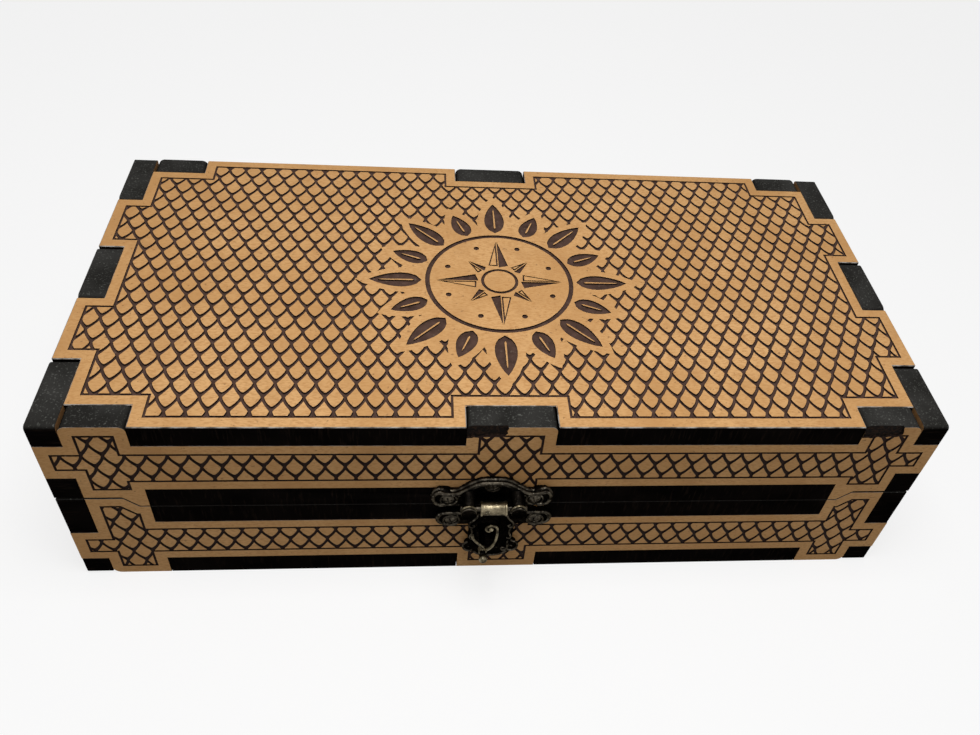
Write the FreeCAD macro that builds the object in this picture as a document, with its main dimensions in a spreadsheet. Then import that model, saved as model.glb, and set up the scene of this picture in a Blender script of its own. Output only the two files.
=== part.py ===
import FreeCAD, Part
import os
import re

# Dice storage chest: two shallow trays of finger-jointed board, hinged at the back and
# closed by a small swivel latch. X runs along the chest, -Y is the front, +Z is up, and
# the origin is the centre of the face that it stands on. Lengths are in millimetres.

doc = FreeCAD.newDocument("DiceChest")

sizeTable = [
    # the boards and the two trays
    ("chestLength", 207.0, "outside, along X"),
    ("chestDepth", 101.5, "outside, along Y"),
    ("baseHeight", 28.35, "base tray, without its corner steps"),
    ("lidHeight", 28.35, "lid tray"),
    ("lidSeat", 0.3, "gap between the closed trays"),
    ("board", 6.35, "thickness of every structural board"),
    ("fingerGap", 0.15, "play at each side of a finger"),
    # fingers
    ("cornerReach", 20.5, "front and back corner tab, from the chest's end"),
    ("centreTab", 20.5, "front and back middle tab"),
    ("sideReach", 20.0, "corner tab of an end board, from the chest's front or back"),
    ("sideTab", 19.6, "middle tab of an end board"),
    ("cornerFinger", 11.5, "height of the front board's finger at the corner"),
    ("tabRound", 2.0, "radius at the outer corner of a long board's corner tab"),
    ("endRound", 1.0, "radius at the outer corners of an end board"),
    # steps that register the lid on the base at its four corners
    ("stepReach", 15.0, "flat top of the step, from the corner"),
    ("stepRun", 3.1, "length of its ramp"),
    ("stepRise", 3.05, "height above the base's rim"),
    ("stepGap", 0.6, "room above the step"),
    ("rampGap", 0.5, "room beside the ramp"),
    ("stepRound", 0.8, "radius at both ends of the ramp"),
    ("stepRelief", 0.8, "room between the lid's deck and the base's steps"),
    # inside of the base
    ("wellFlats", 21.0, "dice well, across its flats"),
    ("wellPitch", 26.0, "from well to well along X"),
    ("rowPitch", 29.0, "from row to row"),
    ("wellMargin", 4.3, "from the back board to the first row"),
    ("troughEnd", 11.65, "from an end board to the long trough"),
    ("troughWidth", 21.5, "its width"),
    ("troughMargin", 4.9, "from the front board"),
    ("troughRound", 5.0, "its corner radius"),
    ("padThickness", 3.0, "felt-covered foam on the base's floor"),
    ("linerGap", 0.3, "play round a loose liner or layer"),
    # inside of the lid
    ("trayRail", 12.3, "rail round the rolling tray"),
    ("trayRound", 6.0, "its corner radius"),
    ("feltThickness", 1.5, "felt under the top board"),
    # hinges on the back
    ("hingeSpacing", 120.0, "between the middles of the two hinges"),
    ("hingeLength", 20.0, "along X"),
    ("leafHeight", 8.0, "from the hinge's axis to a leaf's edge"),
    ("leafThickness", 0.9, "sheet"),
    ("knuckleRadius", 1.6, "outside"),
    ("knuckleGap", 0.15, "between knuckles, and between a leaf and the other's knuckles"),
    ("hingePinRadius", 0.6, "hinge pin"),
    ("pinHeadRadius", 1.2, "head at each end of a hinge pin"),
    ("pinHeadLength", 0.5, "its length"),
    ("runningGap", 0.05, "round every pin that turns"),
    ("hingeScrewSpan", 12.0, "between the two screws of a leaf"),
    ("hingeScrewDrop", 5.0, "from the hinge's axis to its screws"),
    # screws
    ("screwRadius", 0.9, "shank"),
    ("screwLength", 6.0, "into the board"),
    ("screwHeadRadius", 1.6, "head"),
    ("screwHeadRise", 0.6, "above the plate"),
    ("screwGap", 0.02, "round a shank"),
    # latch on the lid
    ("latchPlace", -3.15, "middle of the latch, along X"),
    ("plateThickness", 1.6, "both latch plates"),
    ("plateWidth", 28.6, "over the ears"),
    ("earRadius", 2.7, "ears of both plates"),
    ("latchScrewSpan", 20.7, "between the screws of an ear pair"),
    ("latchPinRise", 6.4, "latch pin above the split"),
    ("earDrop", 1.9, "ears below the latch pin"),
    ("upperScrewDrop", 2.7, "ear screws below the latch pin"),
    ("topScrewRise", 2.4, "middle screw above the latch pin"),
    ("archRise", 4.4, "top of the arch above the latch pin"),
    ("archRadius", 9.4, "its radius"),
    ("archWidth", 13.2, "its span"),
    ("upperPlateDrop", 5.4, "lower edge below the latch pin"),
    ("postSpan", 11.7, "between the two posts"),
    ("postRadius", 1.7, "a post"),
    ("postLength", 7.8, "from the lid's face"),
    ("pinStandoff", 6.1, "latch pin from the lid's face"),
    ("latchPinRadius", 0.7, "latch pin"),
    ("latchPinReach", 0.35, "pin beyond each post"),
    # tongue
    ("barrelRadius", 1.6, "barrel round the latch pin"),
    ("barrelLength", 6.3, "its length"),
    ("tongueThickness", 1.2, "sheet"),
    ("tongueWidth", 10.9, "widest"),
    ("shoulderDrop", 3.4, "where it widens, below the pin"),
    ("tongueRoundDrop", 14.4, "middle of its round end, below the pin"),
    ("windowPlay", 0.4, "round the lever, in the tongue's window and its slot"),
    # plate on the base
    ("keeperShift", 0.95, "lower plate's middle, right of the upper one"),
    ("keeperEarDrop", 4.1, "its ears below the split"),
    ("keeperScrewDrop", 4.8, "its screws below the split"),
    ("keeperTop", 1.3, "its upper edge below the split"),
    ("keeperEarHeight", 5.2, "its upper bar"),
    ("keeperWaist", 10.4, "its width below the ears"),
    ("footDrop", 16.7, "middle of its foot below the split"),
    ("footRadius", 4.2, "round foot"),
    ("footLobe", 2.1, "radius of the two lobes beside the foot"),
    ("footSpan", 9.2, "between those lobes"),
    # lever
    ("pivotPlace", -4.9, "lever's post, along X"),
    ("pivotDrop", 9.1, "lever's post below the split"),
    ("leverPostRadius", 0.75, "post"),
    ("collarRadius", 1.2, "collar behind the lever, and the lever's hub"),
    ("collarStart", 6.65, "collar from the base's face"),
    ("collarLength", 0.25, "collar"),
    ("leverStart", 6.95, "back of the lever from the base's face"),
    ("leverThickness", 1.2, "hub of the lever"),
    ("leverRod", 1.06, "its round rod, which is thinner than the hub"),
    ("curlRise", 9.0, "middle of the curl above the post"),
    ("curlPlace", 1.55, "middle of the curl right of the post"),
    ("curlRadius", 1.35, "curl, to the middle of its rod"),
    ("curlTurn", 290.0, "how far it curls round, in degrees"),
    ("curlBoss", 0.95, "radius of the bead in the curl"),
    ("knobRadius", 1.05, "ball on the end of the post"),
    ("knobStart", 9.9, "middle of the ball from the base's face"),
]

sheet = doc.addObject("Spreadsheet::Sheet", "Sizes")
aliases = []
for row, (alias, number, note) in enumerate(sizeTable, start=1):
    sheet.set(f"A{row}", alias)
    sheet.set(f"B{row}", str(number))
    sheet.setAlias(f"B{row}", alias)
    sheet.set(f"C{row}", note)
    aliases.append(alias)
doc.recompute()

# Places that several pieces share, written with the sheet's aliases.
places = {
    "halfLength": "(chestLength / 2)",
    "halfDepth": "(chestDepth / 2)",
    "lidBottom": "(baseHeight + lidSeat)",
    "chestTop": "(baseHeight + lidSeat + lidHeight)",
    "splitLevel": "(baseHeight + lidSeat / 2)",
    "innerX": "(chestLength / 2 - board)",
    "innerY": "(chestDepth / 2 - board)",
    "pinLevel": "(baseHeight + lidSeat / 2 + latchPinRise)",
    "pivotLevel": "(baseHeight + lidSeat / 2 - pivotDrop)",
    "layerThickness": "((baseHeight - 2 * board - padThickness) / 2)",
}
past = 1.0   # how far a cutter runs past the face that it opens


def expanded(text):
    """Write an expression's shared places out in the sheet's aliases."""
    return re.sub(r"[A-Za-z]\w*", lambda word: expanded(places.get(word[0], "")) or word[0], str(text))


def spelled(text):
    """Write an expression as the document's own objects understand it."""
    return re.sub(r"[A-Za-z]\w*", lambda word: "Sizes." * (word[0] in aliases) + word[0], expanded(text))


def worked(text):
    """The value of an expression, for what can't be bound to the sheet."""
    return float(sheet.evalExpression(expanded(text)))


def bind(thing, **expressions):
    for prop, text in expressions.items():
        thing.setExpression(prop, spelled(text))


def place(thing, x, y, z, turn=None):
    if turn:
        thing.Placement = FreeCAD.Placement(FreeCAD.Vector(), turn)
    for axis, text in zip("xyz", (x, y, z)):
        thing.setExpression("Placement.Base." + axis, spelled(text))
    return thing


towardFront = FreeCAD.Rotation(FreeCAD.Vector(1, 0, 0), 90)
towardBack = FreeCAD.Rotation(FreeCAD.Vector(1, 0, 0), -90)
towardRight = FreeCAD.Rotation(FreeCAD.Vector(0, 1, 0), 90)
cyclic = FreeCAD.Rotation(FreeCAD.Vector(1, 1, 1), 120)


def slab(name, x, y, z):
    """A box between two places on each axis."""
    box = doc.addObject("Part::Box", name)
    bind(box, Length=f"({x[1]}) - ({x[0]})", Width=f"({y[1]}) - ({y[0]})", Height=f"({z[1]}) - ({z[0]})")
    return place(box, x[0], y[0], z[0])


def rod(name, radius, length, x, y, z, turn):
    cylinder = doc.addObject("Part::Cylinder", name)
    bind(cylinder, Radius=radius, Height=length)
    return place(cylinder, x, y, z, turn)


def ramp(name, low, high, z, across, turn):
    """A bar with sloping ends: low and high are its two ends at the bottom and at the top."""
    wedge = doc.addObject("Part::Wedge", name)
    bind(wedge, Xmin=low[0], Xmax=low[1], X2min=high[0], X2max=high[1], Ymin=z[0], Ymax=z[1])
    bind(wedge, Zmin=across[0], Zmax=across[1], Z2min=across[0], Z2max=across[1])
    wedge.Placement = FreeCAD.Placement(FreeCAD.Vector(), turn)
    return wedge


def joined(name, pieces):
    fuse = doc.addObject("Part::MultiFuse", name)
    fuse.Shapes = pieces
    fuse.Refine = True
    return fuse


def cutAway(name, body, cutters):
    cut = doc.addObject("Part::Cut", name)
    cut.Base = body
    cut.Tool = cutters[0] if len(cutters) == 1 else joined(name + "_cutters", cutters)
    cut.Refine = True
    return cut


def shared(name, first, second):
    common = doc.addObject("Part::Common", name)
    common.Base = first
    common.Tool = second
    return common


def grouped(name, pieces):
    group = doc.addObject("Part::Compound", name)
    group.Links = pieces
    return group


def rounded(name, body, direction, spots):
    """Fillet the straight edges along one axis that pass through the given spots."""
    doc.recompute()
    chosen = []
    for number, edge in enumerate(body.Shape.Edges, start=1):
        ends = [vertex.Point for vertex in edge.Vertexes]
        if len(ends) < 2 or abs(abs((ends[1] - ends[0]).normalize().dot(direction)) - 1) > 1e-6:
            continue
        for spot, radius in spots:
            away = spot - ends[0]
            if (away - direction * away.dot(direction)).Length < 1e-4:
                chosen.append((number, radius, radius))
    fillet = doc.addObject("Part::Fillet", name)
    fillet.Base = body
    fillet.Edges = chosen
    return fillet


nodes = {}


def keep(name, thing, solids=1):
    thing.Label = name
    nodes[name] = (thing, solids)
    return thing


def band(side, inner, outer):
    """Two places on one side of the middle: side is -1 or 1."""
    return (inner, outer) if side > 0 else (f"-({outer})", f"-({inner})")


def level(tray, low, high):
    """Two heights, counted from the outer face of a tray's skin towards the split."""
    return (low, high) if tray == "base" else (f"chestTop - ({high})", f"chestTop - ({low})")


# Corner steps: where the ramp of the base's step, and of the lid's notch for it, starts and ends
def stepLine(half, height):
    """How far from the middle the base's ramp is at a height above the base's rim."""
    return f"({half} - stepReach - stepRun + stepRun * ({height}) / stepRise)"


def stepCutters(name, tray, half, through, turn):
    """What shapes the edge at the split: all between two steps, or a notch for each step."""
    if tray == "base":
        low = stepLine(half, "0")
        high = stepLine(half, f"stepRise + {past}")
        return [ramp(name + "_rim", (f"-{low}", low), (f"-{high}", high),
                     ("baseHeight", f"baseHeight + stepRise + {past}"), through, turn)]
    notches = []
    for end in (-1, 1):
        low = band(end, stepLine(half, f"lidSeat - {past}") + " - rampGap", f"{half} + {past}")
        high = band(end, stepLine(half, "stepRise + stepGap") + " - rampGap", f"{half} + {past}")
        notches.append(ramp(f"{name}_notch{end + 1}", low, high,
                            (f"lidBottom - {past}", "baseHeight + stepRise + stepGap"), through, turn))
    return notches


def stepSpots(tray, half, spot):
    """The edges at both ends of each ramp, with the radius that they get."""
    if tray == "base":
        corners = [(stepLine(half, "0"), "baseHeight"), (stepLine(half, "stepRise"), "baseHeight + stepRise")]
    else:
        corners = [(stepLine(half, "lidSeat") + " - rampGap", "lidBottom"),
                   (stepLine(half, "stepRise + stepGap") + " - rampGap", "baseHeight + stepRise + stepGap")]
    return [(spot(end * worked(far), worked(high)), worked("stepRound"))
            for far, high in corners for end in (-1, 1)]


def uprightHeight(tray):
    return "baseHeight + stepRise" if tray == "base" else "lidHeight"


def longBoard(name, tray, side, holes):
    """A front or back board: side is -1 for the front."""
    deep = band(side, "innerY", "halfDepth")
    through = band(side, f"innerY - {past}", f"halfDepth + {past}")
    rim = f"{tray}Height"
    blank = slab(name + "_blank", ("-halfLength", "halfLength"), deep, level(tray, "0", uprightHeight(tray)))
    cutters = stepCutters(name, tray, "halfLength", band(-side, f"innerY - {past}", f"halfDepth + {past}"),
                          towardFront)
    for end in (-1, 1):
        finger = band(end, "centreTab / 2", "halfLength - cornerReach")
        corner = band(end, "innerX - fingerGap", f"halfLength + {past}")
        openings = {
            "skin": (finger, level(tray, f"-{past}", "board")),
            "deck": (finger, level(tray, f"{rim} - board", f"{rim} + stepRise + {past}")),
            "outer": (corner, level(tray, f"-{past}", "board + fingerGap")),
            "inner": (corner, level(tray, "board + cornerFinger - fingerGap", f"{rim} + stepRise + {past}")),
        }
        for label, (along, height) in openings.items():
            cutters.append(slab(f"{name}_{label}{end + 1}", along, through, height))
    cut = cutAway(name + "_cut", blank, cutters + holes)
    spots = stepSpots(tray, "halfLength", lambda far, high: FreeCAD.Vector(far, 0, high))
    outside = worked(level(tray, "0", "0")[0])
    for end in (-1, 1):
        spots.append((FreeCAD.Vector(end * worked("innerX - fingerGap"), 0, outside), worked("tabRound")))
    return keep(name, rounded(name, cut, FreeCAD.Vector(0, 1, 0), spots))


def endBoard(name, tray, side):
    """A left or right board: side is -1 for the left."""
    across = band(side, "innerX", "halfLength")
    through = band(side, f"innerX - {past}", f"halfLength + {past}")
    rim = f"{tray}Height"
    blank = slab(name + "_blank", across, ("-halfDepth", "halfDepth"), level(tray, "0", uprightHeight(tray)))
    cutters = stepCutters(name, tray, "halfDepth", through, cyclic)
    for end in (-1, 1):
        finger = band(end, "sideTab / 2", "halfDepth - sideReach")
        corner = band(end, "innerY", f"halfDepth + {past}")
        openings = {
            "skin": (finger, level(tray, f"-{past}", "board")),
            "deck": (finger, level(tray, f"{rim} - board", f"{rim} + stepRise + {past}")),
            "corner": (corner, level(tray, "board", "board + cornerFinger")),
        }
        for label, (along, height) in openings.items():
            cutters.append(slab(f"{name}_{label}{end + 1}", through, along, height))
    cut = cutAway(name + "_cut", blank, cutters)
    spots = stepSpots(tray, "halfDepth", lambda far, high: FreeCAD.Vector(0, far, high))
    outside = worked(level(tray, "0", "0")[0])
    for end in (-1, 1):
        spots.append((FreeCAD.Vector(0, end * worked("halfDepth"), outside), worked("endRound")))
    return keep(name, rounded(name, cut, FreeCAD.Vector(1, 0, 0), spots))


def skinBoard(name, height, openings, relief="0"):
    """A level board, notched for the tabs of the upright boards: relief deepens its corner notches."""
    through = (f"{height[0]} - {past}", f"{height[1]} + {past}")
    blank = slab(name + "_blank", ("-halfLength", "halfLength"), ("-halfDepth", "halfDepth"), height)
    longMiddle = ("-centreTab / 2 - fingerGap", "centreTab / 2 + fingerGap")
    endMiddle = ("-sideTab / 2 - fingerGap", "sideTab / 2 + fingerGap")
    cutters = []
    for side in (-1, 1):
        longEdge = band(side, "innerY", f"halfDepth + {past}")
        endEdge = band(side, "innerX", f"halfLength + {past}")
        cutters.append(slab(f"{name}_long{side + 1}", longMiddle, longEdge, through))
        cutters.append(slab(f"{name}_end{side + 1}", endEdge, endMiddle, through))
        longCorner = band(side, f"innerY - {relief}", f"halfDepth + {past}")
        endCorner = band(side, f"innerX - {relief}", f"halfLength + {past}")
        for end in (-1, 1):
            alongX = band(end, "halfLength - cornerReach - fingerGap", f"halfLength + {past}")
            alongY = band(end, "halfDepth - sideReach - fingerGap", f"halfDepth + {past}")
            cutters.append(slab(f"{name}_longCorner{end + 1}{side + 1}", alongX, longCorner, through))
            cutters.append(slab(f"{name}_endCorner{end + 1}{side + 1}", endCorner, alongY, through))
    return keep(name, cutAway(name, blank, cutters + openings))


# Screws: each has a domed head on its plate and a plain shank in a pilot hole.
def screws(name, side, standoff, spots):
    """Screws through a plate that lies on the front (side -1) or the back, and the holes for them."""
    outward = towardFront if side < 0 else towardBack
    inward = towardBack if side < 0 else towardFront
    surface = f"{side} * (halfDepth + {standoff})"
    dome = "((screwHeadRadius ^ 2 + screwHeadRise ^ 2) / (2 * screwHeadRise))"
    made = []
    holes = []
    for number, (x, z) in enumerate(spots):
        disc = rod(f"{name}_disc{number}", "screwHeadRadius", "screwHeadRise", x, surface, z, outward)
        ball = doc.addObject("Part::Sphere", f"{name}_ball{number}")
        bind(ball, Radius=dome)
        place(ball, x, f"{surface} + {side} * (screwHeadRise - {dome})", z)
        head = shared(f"{name}_head{number}", disc, ball)
        shank = rod(f"{name}_shank{number}", "screwRadius", "screwLength", x, surface, z, inward)
        made.append(joined(f"{name}_screw{number}", [head, shank]))
        holes.append(rod(f"{name}_hole{number}", "screwRadius + screwGap", f"screwLength + screwGap + {past}",
                         x, f"{surface} + {side} * {past}", z, inward))
    keep(name, grouped(name, made), len(spots))
    return holes


latchEars = ["latchPlace - latchScrewSpan / 2", "latchPlace + latchScrewSpan / 2"]
upperHoles = screws("latch_upper_screws", -1, "plateThickness",
                    [(x, "pinLevel - upperScrewDrop") for x in latchEars]
                    + [("latchPlace", "pinLevel + topScrewRise")])
keeperHoles = screws("latch_lower_screws", -1, "plateThickness",
                     [(x + " + keeperShift", "splitLevel - keeperScrewDrop") for x in latchEars])
hingeColumns = [f"{side} * hingeSpacing / 2 + {end} * hingeScrewSpan / 2"
                for side in (-1, 1) for end in (-1, 1)]
lidHingeHoles = screws("lid_hinge_screws", 1, "leafThickness",
                       [(x, "splitLevel + hingeScrewDrop") for x in hingeColumns])
baseHingeHoles = screws("base_hinge_screws", 1, "leafThickness",
                        [(x, "splitLevel - hingeScrewDrop") for x in hingeColumns])


# Wells for the dice and a trough for pencils, cut through the deck and the layers under it
wellLevel = "board + padThickness"
wellCorners = "(2 * wellFlats / sqrt(3))"
wellDepth = f"2 * innerY - troughMargin - troughWidth - wellMargin - {wellCorners}"
wellColumns = int(worked("(2 * innerX + wellFlats - wellPitch) / wellPitch"))
wellRows = int(worked(f"({wellDepth}) / rowPitch")) + 1
pockets = []
for row in range(wellRows):
    for column in range(wellColumns):
        # six-sided unless told otherwise, and turned so that two flats face X
        well = doc.addObject("Part::Prism", f"well{row}{column}")
        bind(well, Circumradius=f"{wellCorners} / 2", Height=f"baseHeight - {wellLevel} + {2 * past}")
        place(well, f"{column - (wellColumns - 1) / 2} * wellPitch",
              f"innerY - wellMargin - {wellCorners} / 2 - {row} * rowPitch", f"{wellLevel} - {past}",
              FreeCAD.Rotation(FreeCAD.Vector(0, 0, 1), 30))
        pockets.append(well)


def roundedPocket(name, x, y, z, radius):
    box = slab(name + "_box", x, y, z)
    spots = [(FreeCAD.Vector(worked(cornerX), worked(cornerY), 0), worked(radius))
             for cornerX in x for cornerY in y]
    return rounded(name, box, FreeCAD.Vector(0, 0, 1), spots)


troughFront = "-innerY + troughMargin"
pockets.append(roundedPocket("trough", ("-innerX + troughEnd", "innerX - troughEnd"),
                             (troughFront, f"{troughFront} + troughWidth"),
                             (f"{wellLevel} - {past}", f"baseHeight + {past}"), "troughRound"))
trayOpening = roundedPocket("tray", ("-innerX + trayRail", "innerX - trayRail"),
                            ("-innerY + trayRail", "innerY - trayRail"),
                            (f"lidBottom - {past}", f"lidBottom + board + {past}"), "trayRound")


# The two trays
for tray, frontHoles, backHoles in (("base", keeperHoles, baseHingeHoles),
                                    ("lid", upperHoles, lidHingeHoles)):
    longBoard(f"{tray}_front_panel", tray, -1, frontHoles)
    longBoard(f"{tray}_back_panel", tray, 1, backHoles)
    endBoard(f"{tray}_left_panel", tray, -1)
    endBoard(f"{tray}_right_panel", tray, 1)
skinBoard("base_bottom_panel", ("0", "board"), [])
skinBoard("base_deck", ("baseHeight - board", "baseHeight"), pockets + keeperHoles + baseHingeHoles)
skinBoard("lid_deck", ("lidBottom", "lidBottom + board"), [trayOpening] + upperHoles + lidHingeHoles,
          "stepRelief")
skinBoard("lid_top_panel", ("chestTop - board", "chestTop"), [])


# What lies inside
def liner(name, low, high, openings):
    whole = slab(name + "_whole" if openings else name, ("-innerX + linerGap", "innerX - linerGap"),
                 ("-innerY + linerGap", "innerY - linerGap"), (low, high))
    return keep(name, cutAway(name, whole, openings) if openings else whole)


liner("base_felt_pad", "board", wellLevel, [])
liner("lower_well_layer", wellLevel, f"{wellLevel} + layerThickness", pockets)
liner("upper_well_layer", f"{wellLevel} + layerThickness", f"{wellLevel} + 2 * layerThickness", pockets)
liner("lid_tray_felt", "chestTop - board - feltThickness", "chestTop - board", [])


# Hinges: the base's leaf has the middle knuckle and the lid's leaf has the outer two
knuckleLength = "((hingeLength - 2 * knuckleGap) / 3)"
axisDepth = "halfDepth + knuckleRadius"


def leaf(name, middle, up, knuckles, holes):
    """One leaf: up is 1 for the lid's and -1 for the base's."""
    sheetDepth = ("halfDepth", "halfDepth + leafThickness")
    near = band(up, "knuckleRadius + knuckleGap", "leafHeight")
    span = (f"{middle} - hingeLength / 2", f"{middle} + hingeLength / 2")
    pieces = [slab(name + "_sheet", span, sheetDepth, tuple(f"splitLevel + {height}" for height in near))]
    for number, start in enumerate(knuckles):
        begin = f"{middle} + {start}"
        web = band(up, "0", f"knuckleRadius + knuckleGap + {past}")
        pieces.append(slab(f"{name}_web{number}", (begin, f"{begin} + {knuckleLength}"), sheetDepth,
                           tuple(f"splitLevel + {height}" for height in web)))
        pieces.append(rod(f"{name}_knuckle{number}", "knuckleRadius", knuckleLength,
                          begin, axisDepth, "splitLevel", towardRight))
    bore = rod(name + "_bore", "hingePinRadius + runningGap", f"hingeLength + {2 * past}",
               f"{middle} - hingeLength / 2 - {past}", axisDepth, "splitLevel", towardRight)
    keep(name, cutAway(name, joined(name + "_whole", pieces), [bore] + holes))


for label, side in (("left", -1), ("right", 1)):
    middle = f"{side} * hingeSpacing / 2"
    outer = ["-hingeLength / 2", f"hingeLength / 2 - {knuckleLength}"]
    leaf(f"{label}_hinge_base_leaf", middle, -1, [f"-{knuckleLength} / 2"], baseHingeHoles)
    leaf(f"{label}_hinge_lid_leaf", middle, 1, outer, lidHingeHoles)
    name = f"{label}_hinge_pin"
    reach = "(hingeLength / 2 + knuckleGap)"
    pieces = [rod(name + "_rod", "hingePinRadius", f"2 * {reach}", f"{middle} - {reach}", axisDepth,
                  "splitLevel", towardRight)]
    for end, start in ((0, f"{middle} - {reach} - pinHeadLength"), (1, f"{middle} + {reach}")):
        pieces.append(rod(f"{name}_head{end}", "pinHeadRadius", "pinHeadLength", start, axisDepth,
                          "splitLevel", towardRight))
    keep(name, joined(name, pieces))


# Latch: the upper plate carries the tongue on two posts, and the lower plate carries the lever
def plateSlab(name, middle, half, z):
    return slab(name, (f"{middle} - {half}", f"{middle} + {half}"),
                ("-halfDepth - plateThickness", "-halfDepth"), z)


def plateDisc(name, radius, x, z, thickness="plateThickness"):
    return rod(name, radius, thickness, x, "-halfDepth", z, towardFront)


earPlaces = [f"{sign} (plateWidth / 2 - earRadius)" for sign in ("-", "+")]
arch = shared("latch_arch", plateDisc("latch_arch_disc", "archRadius", "latchPlace",
                                      "pinLevel + archRise - archRadius"),
              plateSlab("latch_arch_span", "latchPlace", "archWidth / 2",
                        ("pinLevel - upperPlateDrop", "pinLevel + archRise")))
upperPieces = [arch, plateSlab("latch_upper_bar", "latchPlace", "latchScrewSpan / 2",
                               ("pinLevel - upperPlateDrop", "pinLevel"))]
for number, ear in enumerate(earPlaces):
    upperPieces.append(plateDisc(f"latch_upper_ear{number}", "earRadius", f"latchPlace {ear}",
                                 "pinLevel - earDrop"))
for number, sign in enumerate("-+"):
    upperPieces.append(plateDisc(f"latch_post{number}", "postRadius", f"latchPlace {sign} postSpan / 2",
                                 "pinLevel", "postLength"))
pinDepth = "-halfDepth - pinStandoff"
pinReach = "(postSpan / 2 + postRadius + latchPinReach)"
pinSeat = rod("latch_pin_seat", "latchPinRadius + screwGap", f"2 * {pinReach}", f"latchPlace - {pinReach}",
              pinDepth, "pinLevel", towardRight)
keep("latch_upper_plate", cutAway("latch_upper_plate", joined("latch_upper_whole", upperPieces),
                                  [pinSeat] + upperHoles))
keep("latch_pin", rod("latch_pin", "latchPinRadius", f"2 * {pinReach}", f"latchPlace - {pinReach}",
                      pinDepth, "pinLevel", towardRight))

tongueBack = f"{pinDepth} + barrelRadius"
tongueSheet = (f"{tongueBack} - tongueThickness", tongueBack)
tongueWhole = joined("tongue_whole", [
    rod("tongue_barrel", "barrelRadius", "barrelLength", "latchPlace - barrelLength / 2", pinDepth,
        "pinLevel", towardRight),
    slab("tongue_neck", ("latchPlace - barrelLength / 2", "latchPlace + barrelLength / 2"), tongueSheet,
         (f"pinLevel - shoulderDrop - {past}", "pinLevel")),
    slab("tongue_body", ("latchPlace - tongueWidth / 2", "latchPlace + tongueWidth / 2"), tongueSheet,
         ("pinLevel - tongueRoundDrop", "pinLevel - shoulderDrop")),
    rod("tongue_end", "tongueWidth / 2", "tongueThickness", "latchPlace", tongueBack,
        "pinLevel - tongueRoundDrop", towardFront),
])
# The window clears the lever over the whole swing of the tongue about its pin.
leverRight = "(curlPlace + curlRadius + leverRod / 2)"
leverTop = "(curlRise + curlRadius + leverRod / 2)"
pivotBelowPin = "(latchPinRise + pivotDrop)"
knobSweep = f"(sqrt({pivotBelowPin} ^ 2 + (knobStart - pinStandoff) ^ 2) + knobRadius)"
hubSweep = (f"sqrt(({pivotBelowPin} + collarRadius) ^ 2"
            " + (leverStart + leverThickness - pinStandoff) ^ 2)")
windowTop = f"pinLevel - {pivotBelowPin} + {leverTop} + windowPlay"
windowBottom = f"pinLevel - max({knobSweep}; {hubSweep}) - windowPlay"
through = (f"{tongueBack} - tongueThickness - {past}", f"{tongueBack} + {past}")
windowSpan = ("pivotPlace - collarRadius - windowPlay", f"pivotPlace + {leverRight} + windowPlay")
window = slab("tongue_window", windowSpan, through, (windowBottom, windowTop))
slotSpan = ("pivotPlace - leverPostRadius - windowPlay", "pivotPlace + leverPostRadius + windowPlay")
slotEnd = f"pinLevel - tongueRoundDrop - tongueWidth / 2 - {past}"
slot = slab("tongue_slot", slotSpan, through, (slotEnd, f"{windowBottom} + {past}"))
tongueBore = rod("tongue_bore", "latchPinRadius + runningGap", "barrelLength + 2 * pinStandoff",
                 "latchPlace - barrelLength / 2 - pinStandoff", pinDepth, "pinLevel", towardRight)
keep("latch_tongue", cutAway("latch_tongue", tongueWhole, [window, slot, tongueBore]))

keeperPlace = "latchPlace + keeperShift"
footLevel = "splitLevel - footDrop"
lowerPieces = [
    plateSlab("keeper_bar", keeperPlace, "latchScrewSpan / 2",
              ("splitLevel - keeperTop - keeperEarHeight", "splitLevel - keeperTop")),
    plateSlab("keeper_waist", keeperPlace, "keeperWaist / 2", (footLevel, "splitLevel - keeperTop")),
    plateDisc("keeper_foot", "footRadius", keeperPlace, footLevel),
]
for number, ear in enumerate(earPlaces):
    lowerPieces.append(plateDisc(f"keeper_ear{number}", "earRadius", f"{keeperPlace} {ear}",
                                 "splitLevel - keeperEarDrop"))
for number, sign in enumerate("-+"):
    lowerPieces.append(plateDisc(f"keeper_lobe{number}", "footLobe", f"{keeperPlace} {sign} footSpan / 2",
                                 footLevel))
postHole = rod("keeper_post_hole", "leverPostRadius + screwGap", f"plateThickness + {2 * past}", "pivotPlace",
               f"-halfDepth + {past}", "pivotLevel", towardFront)
keep("latch_lower_plate", cutAway("latch_lower_plate", joined("keeper_whole", lowerPieces),
                                  keeperHoles + [postHole]))

knob = doc.addObject("Part::Sphere", "knob")
bind(knob, Radius="knobRadius")
place(knob, "pivotPlace", "-halfDepth - knobStart", "pivotLevel")
keep("latch_lever_post", joined("latch_lever_post", [
    rod("lever_post", "leverPostRadius", "knobStart", "pivotPlace", "-halfDepth", "pivotLevel", towardFront),
    rod("lever_collar", "collarRadius", "collarLength", "pivotPlace", "-halfDepth - collarStart",
        "pivotLevel", towardFront),
    knob,
]))


# Lever: a round rod that rises from its hub in one arc and ends in a curl round a bead
def bend(name, radius, turned, x, z, turn):
    ring = doc.addObject("Part::Torus", name)
    bind(ring, Radius1=radius, Radius2="leverRod / 2", Angle3=turned)
    return place(ring, x, "-halfDepth - leverStart - leverThickness / 2", z, turn)


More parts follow.
